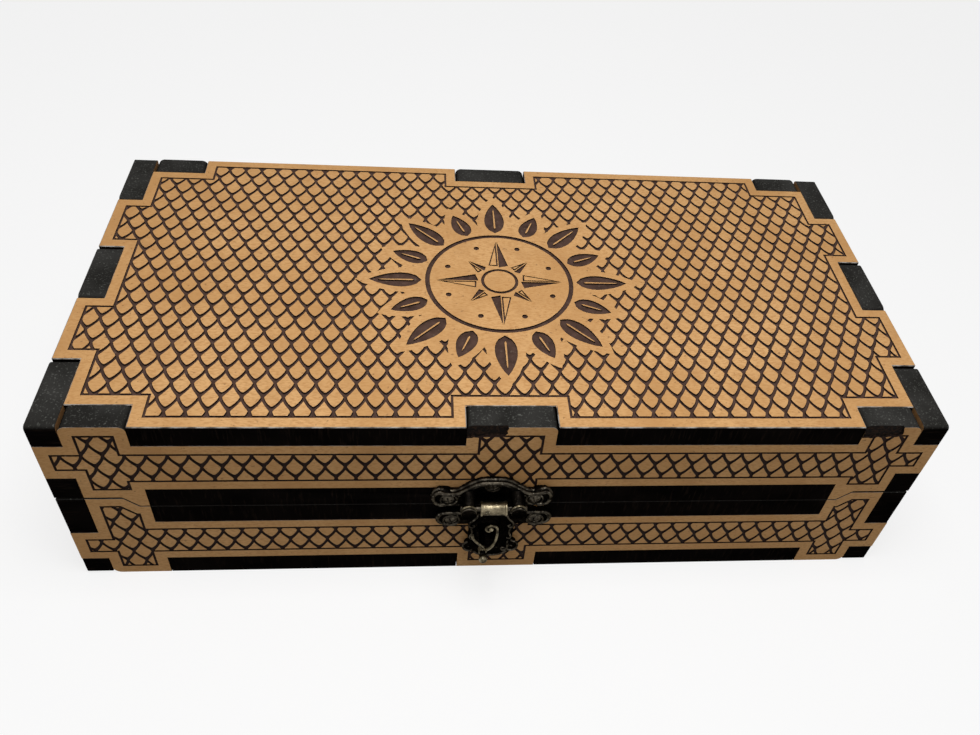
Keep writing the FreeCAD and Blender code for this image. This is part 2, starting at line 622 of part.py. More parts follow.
armShift = "(curlPlace + curlRadius)"
armTurn = f"(2 * atan({armShift} / curlRise))"
armRadius = f"(curlRise / sin({armTurn}))"
curlLevel = "pivotLevel + curlRise"
bead = doc.addObject("Part::Sphere", "lever_bead")
bind(bead, Radius="curlBoss")
place(bead, "pivotPlace + curlPlace", "-halfDepth - leverStart - leverThickness / 2", curlLevel)
leverWhole = joined("lever_whole", [
    rod("lever_hub", "collarRadius", "leverThickness", "pivotPlace", "-halfDepth - leverStart",
        "pivotLevel", towardFront),
    bend("lever_arm", armRadius, armTurn, f"pivotPlace + {armShift} - {armRadius}", curlLevel, towardBack),
    bend("lever_curl", "curlRadius", "curlTurn", "pivotPlace + curlPlace", curlLevel, towardFront),
    bead,
])
leverBore = rod("lever_bore", "leverPostRadius + runningGap", f"leverThickness + {2 * past}", "pivotPlace",
                f"-halfDepth - leverStart + {past}", "pivotLevel", towardFront)
keep("latch_lever", cutAway("latch_lever", leverWhole, [leverBore]))


# Check every object, then write one file for each piece
doc.recompute()
for thing in doc.Objects:
    if "Invalid" in thing.State or "Error" in thing.State:
        raise RuntimeError(f"{thing.Name} failed: {thing.State}")
for name, (thing, count) in nodes.items():
    shape = thing.Shape
    if shape.isNull() or not shape.isValid():
        raise RuntimeError(f"{name} has no valid shape")
    if len(shape.Solids) != count:
        raise RuntimeError(f"{name} has {len(shape.Solids)} solids, not {count}")
os.makedirs("parts", exist_ok=True)
for name, (thing, count) in nodes.items():
    thing.Shape.exportStep(f"parts/{name}.step")
    box = thing.Shape.BoundBox
    size = f"{box.XLength:.2f} x {box.YLength:.2f} x {box.ZLength:.2f} mm"
    print(f"{name}: {thing.Shape.Volume:.1f} mm3, {size}")
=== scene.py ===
import math
import bpy
import bmesh
from mathutils import Matrix, Vector, noise


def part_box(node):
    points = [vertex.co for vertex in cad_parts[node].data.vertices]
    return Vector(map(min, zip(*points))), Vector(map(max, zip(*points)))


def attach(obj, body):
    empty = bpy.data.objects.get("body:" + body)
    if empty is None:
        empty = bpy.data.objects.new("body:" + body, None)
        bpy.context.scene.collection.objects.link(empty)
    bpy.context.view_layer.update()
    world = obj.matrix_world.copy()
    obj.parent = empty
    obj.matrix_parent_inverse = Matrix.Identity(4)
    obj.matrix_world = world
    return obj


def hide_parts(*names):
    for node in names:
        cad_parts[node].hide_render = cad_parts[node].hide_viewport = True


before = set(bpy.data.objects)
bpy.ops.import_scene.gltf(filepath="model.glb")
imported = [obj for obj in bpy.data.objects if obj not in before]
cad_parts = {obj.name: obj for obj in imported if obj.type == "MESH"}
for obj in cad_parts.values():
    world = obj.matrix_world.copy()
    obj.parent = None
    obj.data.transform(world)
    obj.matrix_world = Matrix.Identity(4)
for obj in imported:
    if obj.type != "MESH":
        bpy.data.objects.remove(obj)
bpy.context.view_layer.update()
scene = bpy.context.scene
mm = 0.001
print("frame loaded")


def linear(hexCode):
    parts = [int(hexCode[at:at + 2], 16) / 255 for at in (1, 3, 5)]
    return [part / 12.92 if part <= 0.04045 else ((part + 0.055) / 1.055) ** 2.4 for part in parts] + [1.0]


def addNode(tree, kind, settings=None, links=None, out=0):
    # adds a node, sets it, links it and gives back one of its outputs
    node = tree.node_tree.nodes.new("ShaderNode" + kind)
    for name, value in (settings or {}).items():
        if isinstance(value, str) and value.startswith("#"):
            value = linear(value)
        if isinstance(name, int) or name in node.inputs:
            node.inputs[name].default_value = value
        else:
            setattr(node, name, value)
    for name, socket in (links or {}).items():
        tree.node_tree.links.new(socket, node.inputs[name])
    return node.outputs[out]


def newMaterial(name, **settings):
    material = bpy.data.materials.new(name)
    material.use_nodes = True
    shader = material.node_tree.nodes["Principled BSDF"]
    for key, value in settings.items():
        shader.inputs[key.replace("_", " ")].default_value = value
    return material, shader


def finish(material, shader, colour, bump=None, roughness=None):
    join = material.node_tree.links.new
    join(colour, shader.inputs["Base Color"])
    if bump:
        join(bump, shader.inputs["Normal"])
    if roughness:
        join(roughness, shader.inputs["Roughness"])
    return material


rgb = {"data_type": "RGBA"}      # a mix of two colours: its sockets are 0, 6 and 7, and its output is 2
boardFinish = {
    "fibre": 0.42,     # one fibre bundle across, in millimetres, as every size here
    "blotch": 24, "smokePatch": 7, "fleck": 1.1,
    "pale": "#d9a970", "deep": "#c6955c", "smoke": "#97693c", "shade": "#bd8a52", "fleckColour": "#6b4426",
    # a dark band along the outer cut: laser scorch, and painted shade in the gap between lid and base
    "scorchAndShadeReach": (0.9, 0.4), "scorchedAndShaded": "#15100d",      # from the outer cut: where it starts and is full
}
# the backs of the boards are darker brown: laser smoke stain, and painted shade for the slits at the corners
# where they show
backStainAndShade = {**boardFinish, "pale": "#8a6439", "deep": "#77532e", "smoke": "#4f3720", "shade": "#6a4926"}


def rawBoardFace(name, setting, scorchAndShade=None):
    # fibreboard, calendered face: short fibres that lie mostly one way, faint blotches, a few dark flecks
    material, shader = newMaterial(name, Roughness=0.72, Specular_IOR_Level=0.35)
    coords = addNode(material, "TexCoord", out="Object")
    laid = addNode(material, "Mapping", {"Scale": (0.4, 1, 1)}, {"Vector": coords})
    fibres = addNode(material, "TexNoise", {"Scale": 1000 / setting["fibre"], "Detail": 3}, {"Vector": laid})
    cloud = addNode(material, "TexNoise", {"Scale": 1000 / setting["blotch"], "Detail": 4},
                    {"Vector": coords})
    smoke = addNode(material, "TexNoise", {"Scale": 1000 / setting["smokePatch"]}, {"Vector": coords})
    fleck = addNode(material, "TexNoise", {"Scale": 1000 / setting["fleck"], "Detail": 3}, {"Vector": coords})
    clouded = addNode(material, "MapRange", {"From Min": 0.36, "From Max": 0.66}, {"Value": cloud})
    smoked = addNode(material, "MapRange", {"From Min": 0.5, "From Max": 0.8, "To Max": 0.32},
                     {"Value": smoke})
    fibrous = addNode(material, "MapRange", {"From Min": 0.42, "From Max": 0.72}, {"Value": fibres})
    flecked = addNode(material, "MapRange", {"From Min": 0.66, "From Max": 0.72, "To Max": 0.5},
                      {"Value": fleck})
    colour = addNode(material, "Mix", {**rgb, 6: setting["pale"], 7: setting["deep"]}, {0: clouded}, 2)
    colour = addNode(material, "Mix", {**rgb, 7: setting["smoke"]}, {0: smoked, 6: colour}, 2)
    colour = addNode(material, "Mix", {**rgb, 7: setting["shade"]}, {0: fibrous, 6: colour}, 2)
    colour = addNode(material, "Mix", {**rgb, 7: setting["fleckColour"]}, {0: flecked, 6: colour}, 2)
    if scorchAndShade:
        # a dark line along the outer cut, laser scorch and painted shade in the gap between lid and base: the
        # given size is half the board's length and depth
        outward = addNode(material, "VectorMath", {"operation": "ABSOLUTE"}, {0: coords})
        short = addNode(material, "VectorMath", {"operation": "SUBTRACT", 1: (*scorchAndShade, 0)}, {0: outward})
        split = addNode(material, "SeparateXYZ", {}, {0: short}).node.outputs
        nearest = addNode(material, "Math", {"operation": "MAXIMUM"}, {0: split["X"], 1: split["Y"]})
        far, near = setting["scorchAndShadeReach"]
        burned = addNode(material, "MapRange", {"From Min": -far * mm, "From Max": -near * mm},
                         {"Value": nearest})
        colour = addNode(material, "Mix", {**rgb, 7: setting["scorchedAndShaded"]}, {0: burned, 6: colour}, 2)
    skin = addNode(material, "Bump", {"Strength": 0.6, "Distance": 0.06 * mm}, {"Height": fibres})
    return finish(material, shader, colour, skin)


charFinish = {
    "mark": 0.5, "patch": 9, "dust": 0.45,
    # the two pale tones, for upward faces, are painted sheen of the overhead light with some rubbing
    "black": "#0b0908", "soot": "#15110f", "cut": "#261e19", "rubbedAndHighlit": "#282725", "grey": "#3a3937",
    "dustColour": "#8b8d86",
}


def charredEdge(axis):
    # laser-cut edge of fibreboard: matt black char with cut marks across the board, dusty on top, and lighter
    # grey on top as painted sheen of the overhead light with some rubbing
    setting = charFinish
    material, shader = newMaterial("charred edge " + axis, Specular_IOR_Level=0.0)
    coords = addNode(material, "TexCoord", out="Object")
    along = tuple(0.12 if letter == axis else 1.0 for letter in "XYZ")
    drawn = addNode(material, "Mapping", {"Scale": along}, {"Vector": coords})
    marks = addNode(material, "TexNoise", {"Scale": 1000 / setting["mark"]}, {"Vector": drawn})
    patch = addNode(material, "TexNoise", {"Scale": 1000 / setting["patch"], "Detail": 4}, {"Vector": coords})
    dust = addNode(material, "TexNoise", {"Scale": 1000 / setting["dust"], "Detail": 4}, {"Vector": coords})
    normal = addNode(material, "TexCoord", out="Normal")
    upward = addNode(material, "SeparateXYZ", {}, {0: normal}, "Z")
    patches = addNode(material, "MapRange", {"From Min": 0.35, "From Max": 0.7}, {"Value": patch})
    cutMarks = addNode(material, "MapRange", {"From Min": 0.55, "From Max": 0.85}, {"Value": marks})
    # upward faces: dust settles there, and the painted sheen of the overhead light goes there
    facingUp = addNode(material, "MapRange", {"From Min": 0.3, "From Max": 0.9}, {"Value": upward})
    specks = addNode(material, "MapRange", {"From Min": 0.58, "From Max": 0.76, "To Max": 0.4},
                     {"Value": dust})
    settled = addNode(material, "Math", {"operation": "MULTIPLY"}, {0: specks, 1: facingUp})
    burned = addNode(material, "Mix", {**rgb, 6: setting["black"], 7: setting["soot"]}, {0: patches}, 2)
    burned = addNode(material, "Mix", {**rgb, 7: setting["cut"]}, {0: cutMarks, 6: burned}, 2)
    # upward faces take the pale tones: painted sheen of the overhead light with some rubbing
    wornAndHighlit = addNode(material, "Mix", {**rgb, 6: setting["rubbedAndHighlit"], 7: setting["grey"]}, {0: patches}, 2)
    colour = addNode(material, "Mix", rgb, {0: facingUp, 6: burned, 7: wornAndHighlit}, 2)
    colour = addNode(material, "Mix", {**rgb, 7: setting["dustColour"]}, {0: settled, 6: colour}, 2)
    rough = addNode(material, "MapRange", {"To Min": 0.42, "To Max": 0.65}, {"Value": patches})
    skin = addNode(material, "Bump", {"Strength": 0.5, "Distance": 0.08 * mm}, {"Height": marks})
    return finish(material, shader, colour, skin, rough)


grooveFinish = {
    "dwell": 2.2, "ash": 0.9, "crumb": 0.3,
    # two browns, and the ash on them; the upright boards' floor is darker, painted shade for the grooves on
    # the upright faces
    "floor": ("#553f36", "#3a2820", "#857768"), "uprightFloor": ("#29150d", "#190c07", "#3d2b20"),
    "wall": ("#1d0f09", "#120905", "#857768"),
}


def burnedGroove(name, tones):
    # what the laser engraved: a reddish brown floor with ash on it, between walls that are nearly black
    setting = grooveFinish
    first, second, cinder = setting[tones]
    material, shader = newMaterial(name, Roughness=0.85, Specular_IOR_Level=0.2)
    coords = addNode(material, "TexCoord", out="Object")
    dwell = addNode(material, "TexNoise", {"Scale": 1000 / setting["dwell"], "Detail": 4}, {"Vector": coords})
    ash = addNode(material, "TexNoise", {"Scale": 1000 / setting["ash"], "Detail": 3}, {"Vector": coords})
    crumbs = addNode(material, "TexNoise", {"Scale": 1000 / setting["crumb"]}, {"Vector": coords})
    dwelt = addNode(material, "MapRange", {"From Min": 0.3, "From Max": 0.7}, {"Value": dwell})
    ashen = addNode(material, "MapRange", {"From Min": 0.62, "From Max": 0.76, "To Max": 0.4}, {"Value": ash})
    colour = addNode(material, "Mix", {**rgb, 6: first, 7: second}, {0: dwelt}, 2)
    colour = addNode(material, "Mix", {**rgb, 7: cinder}, {0: ashen, 6: colour}, 2)
    skin = addNode(material, "Bump", {"Strength": 0.5, "Distance": 0.05 * mm}, {"Height": crumbs})
    return finish(material, shader, colour, skin)


tornFinish = {"fibre": 0.6, "stained": "#0e0a08", "bare": "#38281f"}


def tornFibreboard():
    # bare fibres under the skin, stained by smoke
    setting = tornFinish
    material, shader = newMaterial("torn fibreboard", Roughness=0.9, Specular_IOR_Level=0.1)
    coords = addNode(material, "TexCoord", out="Object")
    fibres = addNode(material, "TexNoise", {"Scale": 1000 / setting["fibre"], "Detail": 5},
                     {"Vector": coords})
    bare = addNode(material, "MapRange", {"From Min": 0.45, "From Max": 0.8}, {"Value": fibres})
    colour = addNode(material, "Mix", {**rgb, 6: setting["stained"], 7: setting["bare"]}, {0: bare}, 2)
    skin = addNode(material, "Bump", {"Strength": 1.0, "Distance": 0.3 * mm}, {"Height": fibres})
    return finish(material, shader, colour, skin)


# pale grey upper corners: painted highlight, with some rubbing
cornerWearAndHighlight = {"mottle": 2.5, "wornAndHighlit": "#57514b", "rubbedAndHighlit": "#b0aaa2"}


def rubbedAndHighlitCorner():
    # upper corners of the boards, pale grey: painted highlight of the overhead light on the eased edges, and
    # char rubbed by handling
    setting = cornerWearAndHighlight
    material, shader = newMaterial("rubbed corner", Roughness=0.6, Specular_IOR_Level=0.3)
    coords = addNode(material, "TexCoord", out="Object")
    mottle = addNode(material, "TexNoise", {"Scale": 1000 / setting["mottle"], "Detail": 4}, {"Vector": coords})
    rubbedAndHighlit = addNode(material, "MapRange", {"From Min": 0.4, "From Max": 0.6}, {"Value": mottle})
    colour = addNode(material, "Mix", {**rgb, 6: setting["wornAndHighlit"], 7: setting["rubbedAndHighlit"]}, {0: rubbedAndHighlit}, 2)
    return finish(material, shader, colour)


feltFinish = {"tuft": 0.55, "wool": "#0c0c0e", "nap": "#232226"}


def blackFelt():
    # wool felt: matt black with a short nap, its tufts drawn at half a millimetre so that they show
    setting = feltFinish
    material, shader = newMaterial("black felt", Roughness=0.98, Sheen_Weight=0.35, Sheen_Roughness=0.6,
                                   Specular_IOR_Level=0.15)
    coords = addNode(material, "TexCoord", out="Object")
    tufts = addNode(material, "TexNoise", {"Scale": 1000 / setting["tuft"], "Detail": 4}, {"Vector": coords})
    pile = addNode(material, "MapRange", {"From Min": 0.35, "From Max": 0.75}, {"Value": tufts})
    colour = addNode(material, "Mix", {**rgb, 6: setting["wool"], 7: setting["nap"]}, {0: pile}, 2)
    skin = addNode(material, "Bump", {"Strength": 0.9, "Distance": 0.35 * mm}, {"Height": tufts})
    return finish(material, shader, colour, skin)


bronzeFinish = {
    "patina": 1.6, "grit": 0.32, "glint": 0.5,
    # dark, light and fleck, the fleck a painted glint, then the least roughness and how bright the metal
    # turns at grazing view
    "plate": ("#090807", "#15120f", "#3c372f", 0.32, 0.06),
    "rim": ("#1f1c18", "#4d473d", "#918a7b", 0.24, 0.25),
    "lever": ("#332d23", "#857b63", "#bdb396", 0.22, 0.5),
    # the rubbed tone is wear on the ball, painted highlight on the crescents over the posts, and both on the
    # tongue's barrel and collars
    "rubbedAndHighlit": ("#332d21", "#8b8068", "#cfc6aa", 0.2, 0.5),
}


def antiqueBronze(name, tones):
    # cast zinc, bronze plated and blackened: dark in the hollows, its grainy skin with pale flecks that are
    # painted glints
    setting = bronzeFinish
    dark, light, fleck, roughness, rim = setting[tones]
    material, shader = newMaterial(name, Metallic=1.0, Specular_Tint=(rim, rim, rim, 1))
    coords = addNode(material, "TexCoord", out="Object")
    patina = addNode(material, "TexNoise", {"Scale": 1000 / setting["patina"], "Detail": 5},
                     {"Vector": coords})
    grit = addNode(material, "TexNoise", {"Scale": 1000 / setting["grit"], "Detail": 3}, {"Vector": coords})
    glint = addNode(material, "TexNoise", {"Scale": 1000 / setting["glint"], "Detail": 3}, {"Vector": coords})
    patchy = addNode(material, "MapRange", {"From Min": 0.38, "From Max": 0.66}, {"Value": patina})
    # pale flecks: painted glints
    bare = addNode(material, "MapRange", {"From Min": 0.6, "From Max": 0.72, "To Max": 0.6}, {"Value": glint})
    colour = addNode(material, "Mix", {**rgb, 6: dark, 7: light}, {0: patchy}, 2)
    colour = addNode(material, "Mix", {**rgb, 7: fleck}, {0: bare, 6: colour}, 2)
    rough = addNode(material, "MapRange", {"To Min": roughness, "To Max": roughness + 0.25}, {"Value": grit})
    skin = addNode(material, "Bump", {"Strength": 0.8, "Distance": 0.09 * mm}, {"Height": grit})
    return finish(material, shader, colour, skin, rough)


face = rawBoardFace("fibreboard face", boardFinish)
back = rawBoardFace("fibreboard back", backStainAndShade)
edgeAlong = {axis: charredEdge(axis) for axis in "XYZ"}
groove = burnedGroove("burned groove floor", "floor")
# darker groove floors on the upright boards: painted shade
shadedUprightGroove = burnedGroove("burned groove floor of an upright board", "uprightFloor")
grooveWall = burnedGroove("burned groove wall", "wall")
tornBoard = tornFibreboard()
wornAndHighlitCorner = rubbedAndHighlitCorner()
felt = blackFelt()
bronze = antiqueBronze("antique bronze", "plate")
rimBronze = antiqueBronze("antique bronze rim", "rim")
leverBronze = antiqueBronze("antique bronze lever", "lever")
rubbedAndHighlitBronze = antiqueBronze("antique bronze rubbed", "rubbedAndHighlit")
print("materials made")


def eased(shape, edges, size, segments, clamp=False):
    bmesh.ops.bevel(shape, geom=edges, offset=size * mm, offset_type="OFFSET", segments=segments,
                    profile=0.5, affect="EDGES", material=-1, clamp_overlap=clamp)


def soften(shape, chamfer, segments):
    sharp = [edge for edge in shape.edges if edge.calc_face_angle(0) > math.radians(38)]
    eased(shape, sharp, chamfer, segments, True)


def copyOf(node, chamfer, segments=1):
    # the CAD piece with its doubles merged, its flat faces whole and its sharp edges eased
    shape = bmesh.new()
    shape.from_mesh(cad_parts[node].data)
    bmesh.ops.remove_doubles(shape, verts=shape.verts, dist=0.002 * mm)
    bmesh.ops.dissolve_limit(shape, angle_limit=math.radians(0.4), verts=shape.verts, edges=shape.edges)
    if chamfer:
        soften(shape, chamfer, segments)
    return shape


def linked(name, shape):
    mesh = bpy.data.meshes.new(name)
    shape.to_mesh(mesh)
    shape.free()
    piece = bpy.data.objects.new(name, mesh)
    scene.collection.objects.link(piece)
    return piece


def dress(piece, *materials):
    piece.data.materials.clear()
    for material in materials:
        piece.data.materials.append(material)


def combine(piece, tool, operation):
    # one boolean, applied, after which the tool is gone
    modifier = piece.modifiers.new("combine", "BOOLEAN")
    modifier.solver = "MANIFOLD"
    modifier.operation = operation
    modifier.object = tool
    evaluated = piece.evaluated_get(bpy.context.evaluated_depsgraph_get())
    mesh = bpy.data.meshes.new_from_object(evaluated)
    piece.modifiers.clear()
    piece.data = mesh
    bpy.data.objects.remove(tool)
    return piece


def settle(piece, body, slot, *replaced, smooth=35):
    if smooth:
        piece.data.shade_smooth()
        piece.data.set_sharp_from_angle(angle=math.radians(smooth))
    else:
        piece.data.shade_flat()
    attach(piece, body)
    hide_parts(*replaced)
    return piece


def vertsOf(made):
    return [item for item in made if isinstance(item, bmesh.types.BMVert)]


def block(shape, across, up, out):
    # a box between two places on each axis
    spans = (across, up, out)
    made = bmesh.ops.create_cube(shape, size=1)["verts"]
    bmesh.ops.scale(shape, vec=[high - low for low, high in spans], verts=made)
    bmesh.ops.translate(shape, vec=[(low + high) / 2 for low, high in spans], verts=made)
    return made


# engraved boards: sizes in millimetres, on a face whose third axis points out of the board
chest = {
    "length": 207.0, "depth": 101.5, "height": 57.0, "baseRim": 28.35, "lidRim": 28.65, "board": 6.35,
    "cornerReach": 20.5, "centreTab": 20.5, "sideReach": 20.0, "sideTab": 19.6, "cornerFinger": 11.5,
    "gap": 0.15, "stepReach": 15.0, "stepRun": 3.1, "stepRise": 3.05, "stepGap": 0.6,
    "eased": 0.08,
}
engraving = {
    "margin": 3.05,      # from a board's outline to the border line
    "line": 0.6,         # border line
    "depth": 0.4,
    "rise": 4.2,         # from row to row
    "bow": 1.55,         # how far a stroke bows out below its scale
    "lean": 0.13,        # how far a wall leans out from the surface to the floor
    "outer": 0.4,        # from the middle of a stroke to the scales beside it
    "inner": 0.33,       # and to the scale above it
    "web": 0.6,          # extra in the crook where two strokes meet
    "blunt": 0.04,       # the least half width at a scale's tips
    "meanReach": 0.38,   # from a scale's middle to its sides on average, as a share of the pitch
    "chamfer": 0.2,      # eased edge of every board
    "tabRound": 1.6,     # rounded corners of the lid's fingers
}
# a crossing between four scales, across and up, and the scales' pitch
firstScale = {"base": (-2.56, 14.1, 4.505), "lid": (-1.2, 43.45, 4.53), "top": (1.09, -45.9, 4.53)}
# torn places: outlines across and up on the board's face
damage = {
    "depth": 0.6,
    "lid_front_panel": [
        [(-10.6, 57.5), (-1.2, 57.5), (-0.9, 56.6), (-1.25, 55.7), (-1.0, 55.0), (-1.5, 54.3),
         (-2.3, 54.1), (-3.0, 53.85), (-3.9, 54.15), (-4.8, 54.05), (-5.7, 54.2), (-6.4, 53.85),
         (-7.0, 53.75), (-7.5, 53.4), (-8.6, 53.6), (-9.3, 53.35), (-10.6, 53.2)],
        [(83.05, 57.5), (92.1, 57.5), (92.3, 56.4), (92.7, 55.3), (92.75, 54.3), (92.1, 53.7), (91.2, 53.45),
         (90.4, 53.8), (89.5, 53.75), (88.9, 53.3), (88.0, 53.2), (87.1, 53.55), (86.3, 53.5), (85.6, 53.0),
         (84.4, 53.3), (83.05, 53.2)],
    ],
}
facing = {
    "front": ((1, 0, 0), (0, 0, 1)), "back": ((-1, 0, 0), (0, 0, 1)), "left": ((0, -1, 0), (0, 0, 1)),
    "right": ((0, 1, 0), (0, 0, 1)), "top": ((1, 0, 0), (0, 1, 0)),
}


def placeOn(node, side):
    # turns a face's own axes, in millimetres, into the row's axes
    across, up = (Vector(axis) for axis in facing[side])
    out = across.cross(up)
    low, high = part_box(node)
    reach = max(low.dot(out), high.dot(out))
    turn = Matrix((across, up, out)).transposed().to_4x4()
    return Matrix.Translation(out * reach) @ turn @ Matrix.Scale(mm, 4)


def heights(tray, low, high):
    # two heights above a tray's own skin
    return (low, high) if tray == "base" else (chest["height"] - high, chest["height"] - low)


def uprightOpenings(tray, half, reach, tab, inset, taken):
    # what is open in an upright board's outline, as boxes on its face: the fingers of the boards round a
    # corner take the heights in taken
    board, rim = chest["board"], chest["baseRim"]
    top = rim + chest["stepRise"]
    boxes = []
    for side in (-1, 1):
        finger = sorted((side * tab / 2, side * (half - reach)))
        corner = sorted((side * inset, side * half))
        boxes.append((finger, heights(tray, 0, board)))
        boxes.append((finger, heights(tray, rim - board, top)))
        for low, high in taken:
            boxes.append((corner, heights(tray, low, high)))
        if tray == "lid":
            notch = sorted((side * (half - chest["stepReach"] - chest["stepRun"]), side * half))
            boxes.append((notch, (chest["lidRim"], rim + chest["stepRise"] + chest["stepGap"])))
    return boxes


def longOpenings(tray):
    board, finger = chest["board"], chest["cornerFinger"]
    taken = [(0, board + chest["gap"]), (board + finger - chest["gap"], chest["baseRim"] + chest["stepRise"])]
    return uprightOpenings(tray, chest["length"] / 2, chest["cornerReach"], chest["centreTab"],
                           chest["length"] / 2 - board, taken)


def endOpenings(tray):
    # the end boards' lowest fingers are too slim for the pattern, and so are the lid's others
    board = chest["board"]
    bare = board + chest["cornerFinger"] if tray == "base" else chest["lidRim"]
    return uprightOpenings(tray, chest["depth"] / 2, chest["sideReach"], chest["sideTab"],
                           chest["depth"] / 2 - board, [(0, bare)])


def topOpenings():
    length, depth, board, gap = (chest[key] for key in ("length", "depth", "board", "gap"))
    boxes = []
    for side in (-1, 1):
        longEdge = sorted((side * (depth / 2 - board), side * depth / 2))
        endEdge = sorted((side * (length / 2 - board), side * length / 2))
        boxes.append(((-chest["centreTab"] / 2 - gap, chest["centreTab"] / 2 + gap), longEdge))
        boxes.append((endEdge, (-chest["sideTab"] / 2 - gap, chest["sideTab"] / 2 + gap)))
        for end in (-1, 1):
            longCorner = sorted((end * (length / 2 - chest["cornerReach"] - gap), end * length / 2))
            endCorner = sorted((end * (depth / 2 - chest["sideReach"] - gap), end * depth / 2))
            boxes.append((longCorner, longEdge))
            boxes.append((endEdge, endCorner))
    return boxes


def field(size, openings, ramp, margin, out):
    # the board's outline, drawn in by margin, as a slab between two levels
    shape = bmesh.new()
    block(shape, *[(low + margin, high - margin) for low, high in size], out)
    piece = linked("field", shape)
    beyond = (out[0] - 1, out[1] + 1)
    for across, up in openings:
        tool = bmesh.new()
        block(tool, (across[0] - margin, across[1] + margin), (up[0] - margin, up[1] + margin), beyond)
        combine(piece, linked("opening", tool), "DIFFERENCE")
    if ramp:
        # between the two corner steps: a bar, higher than the board, whose ends lean back with the ramps
        tall, slope = 20, chest["stepRun"] / chest["stepRise"]
        low = chest["baseRim"] - margin
        reach = ramp + margin * (math.hypot(slope, 1) - slope)
        tool = bmesh.new()
        made = block(tool, (-reach, reach), (low, low + tall), beyond)
        upper = [vert for vert in made if vert.co.y > low + 1]
        bmesh.ops.scale(tool, vec=((reach + tall * slope) / reach, 1, 1), verts=upper)
        combine(piece, linked("ramps", tool), "DIFFERENCE")
    return piece


def scaleOutline(half):
    # right half of one scale, from its upper tip to its lower one, about the crossing below it
    rise, bow, blunt = engraving["rise"], engraving["bow"], engraving["blunt"]
    upper, lower = [], []
    steps = 10
    for step in range(1, steps + 1):
        down = step / steps
        run = half * bow * down ** (bow - 1)
        across, along = rise / math.hypot(run, rise), run / math.hypot(run, rise)
        # the stroke on the upper right runs away from the middle, and the one below it comes back
        near, far = engraving["outer"], engraving["inner"] + engraving["web"] * down ** 4
        upper.append((half * down ** bow - near * across, rise * (2 - down) - near * along))
        lower.append((half * (1 - down ** bow) - far * across, rise * (1 - down) + far * along))
    upper = [point for point in upper[:-1] if point[0] > blunt]
    lower = [point for point in lower if point[0] > blunt]
    slope = (upper[0][1] - upper[1][1]) / (upper[1][0] - upper[0][0])
    return [(0, upper[0][1] + upper[0][0] * slope * 0.9)] + upper + lower + [(0, lower[-1][1] - blunt)]


def scales(size, start, out):
    # rows of standing scales over a whole face: start is one crossing between them, and their pitch
    pitch, rise = start[2], engraving["rise"]
    half = scaleOutline(pitch / 2)
    points = half + [(-across, up) for across, up in half[-2:0:-1]]
    shape = bmesh.new()
    corners = [shape.verts.new((across, up, out[0])) for across, up in points]
    flat = shape.faces.new(corners[::-1])
    raised = bmesh.ops.extrude_face_region(shape, geom=[flat], use_keep_orig=True)
    risen = vertsOf(raised["geom"])
    bmesh.ops.translate(shape, vec=(0, 0, out[1] - out[0]), verts=risen)
    for verts, level in ((corners, out[0]), (risen, out[1])):
        wider = 1 - level / engraving["depth"] * engraving["lean"] / (pitch * engraving["meanReach"])
        bmesh.ops.scale(shape, vec=(wider, wider, 1), verts=verts, space=Matrix.Translation((0, -rise, 0)))
    first = math.floor((size[0][0] - start[0]) / pitch) - 1
    last = math.ceil((size[0][1] - start[0]) / pitch) + 1
    bmesh.ops.translate(shape, vec=(start[0] + first * pitch, 0, 0), verts=shape.verts)
    single = list(shape.verts) + list(shape.edges) + list(shape.faces)
    for column in range(1, last - first + 1):
        extra = bmesh.ops.duplicate(shape, geom=single)["geom"]
        bmesh.ops.translate(shape, vec=(column * pitch, 0, 0), verts=vertsOf(extra))
    bottom = math.floor((size[1][0] - start[1]) / rise) - 2
    top = math.ceil((size[1][1] - start[1]) / rise) + 1
    whole = list(shape.verts) + list(shape.edges) + list(shape.faces)
    for row in range(bottom, top + 1):
        extra = bmesh.ops.duplicate(shape, geom=whole)["geom"]
        shift = (row % 2) * pitch / 2
        bmesh.ops.translate(shape, vec=(shift, start[1] + row * rise, 0), verts=vertsOf(extra))
    bmesh.ops.delete(shape, geom=vertsOf(whole), context="VERTS")
    bmesh.ops.recalc_face_normals(shape, faces=shape.faces)
    return linked("scales", shape)


def tornPlace(points, depth):
    # where the board's skin has come away: the outline on the face
    shape = bmesh.new()
    shape.faces.new([shape.verts.new((across, up, -depth)) for across, up in points])
    raiseFaces(shape, shape.faces[:], (-depth, 1))
    return linked("torn", shape)


def roundTabs(shape, out):
    # the lid's fingers have rounded corners where they come through its top
    top = chest["height"] * mm - 0.01 * mm
    ends = [edge for edge in shape.edges if all(vert.co.z > top for vert in edge.verts)
            and abs((edge.verts[0].co - edge.verts[1].co).normalized().dot(out)) > 0.99 and abs(out.z) < 0.5]
    if ends:
        eased(shape, ends, engraving["tabRound"], 6)


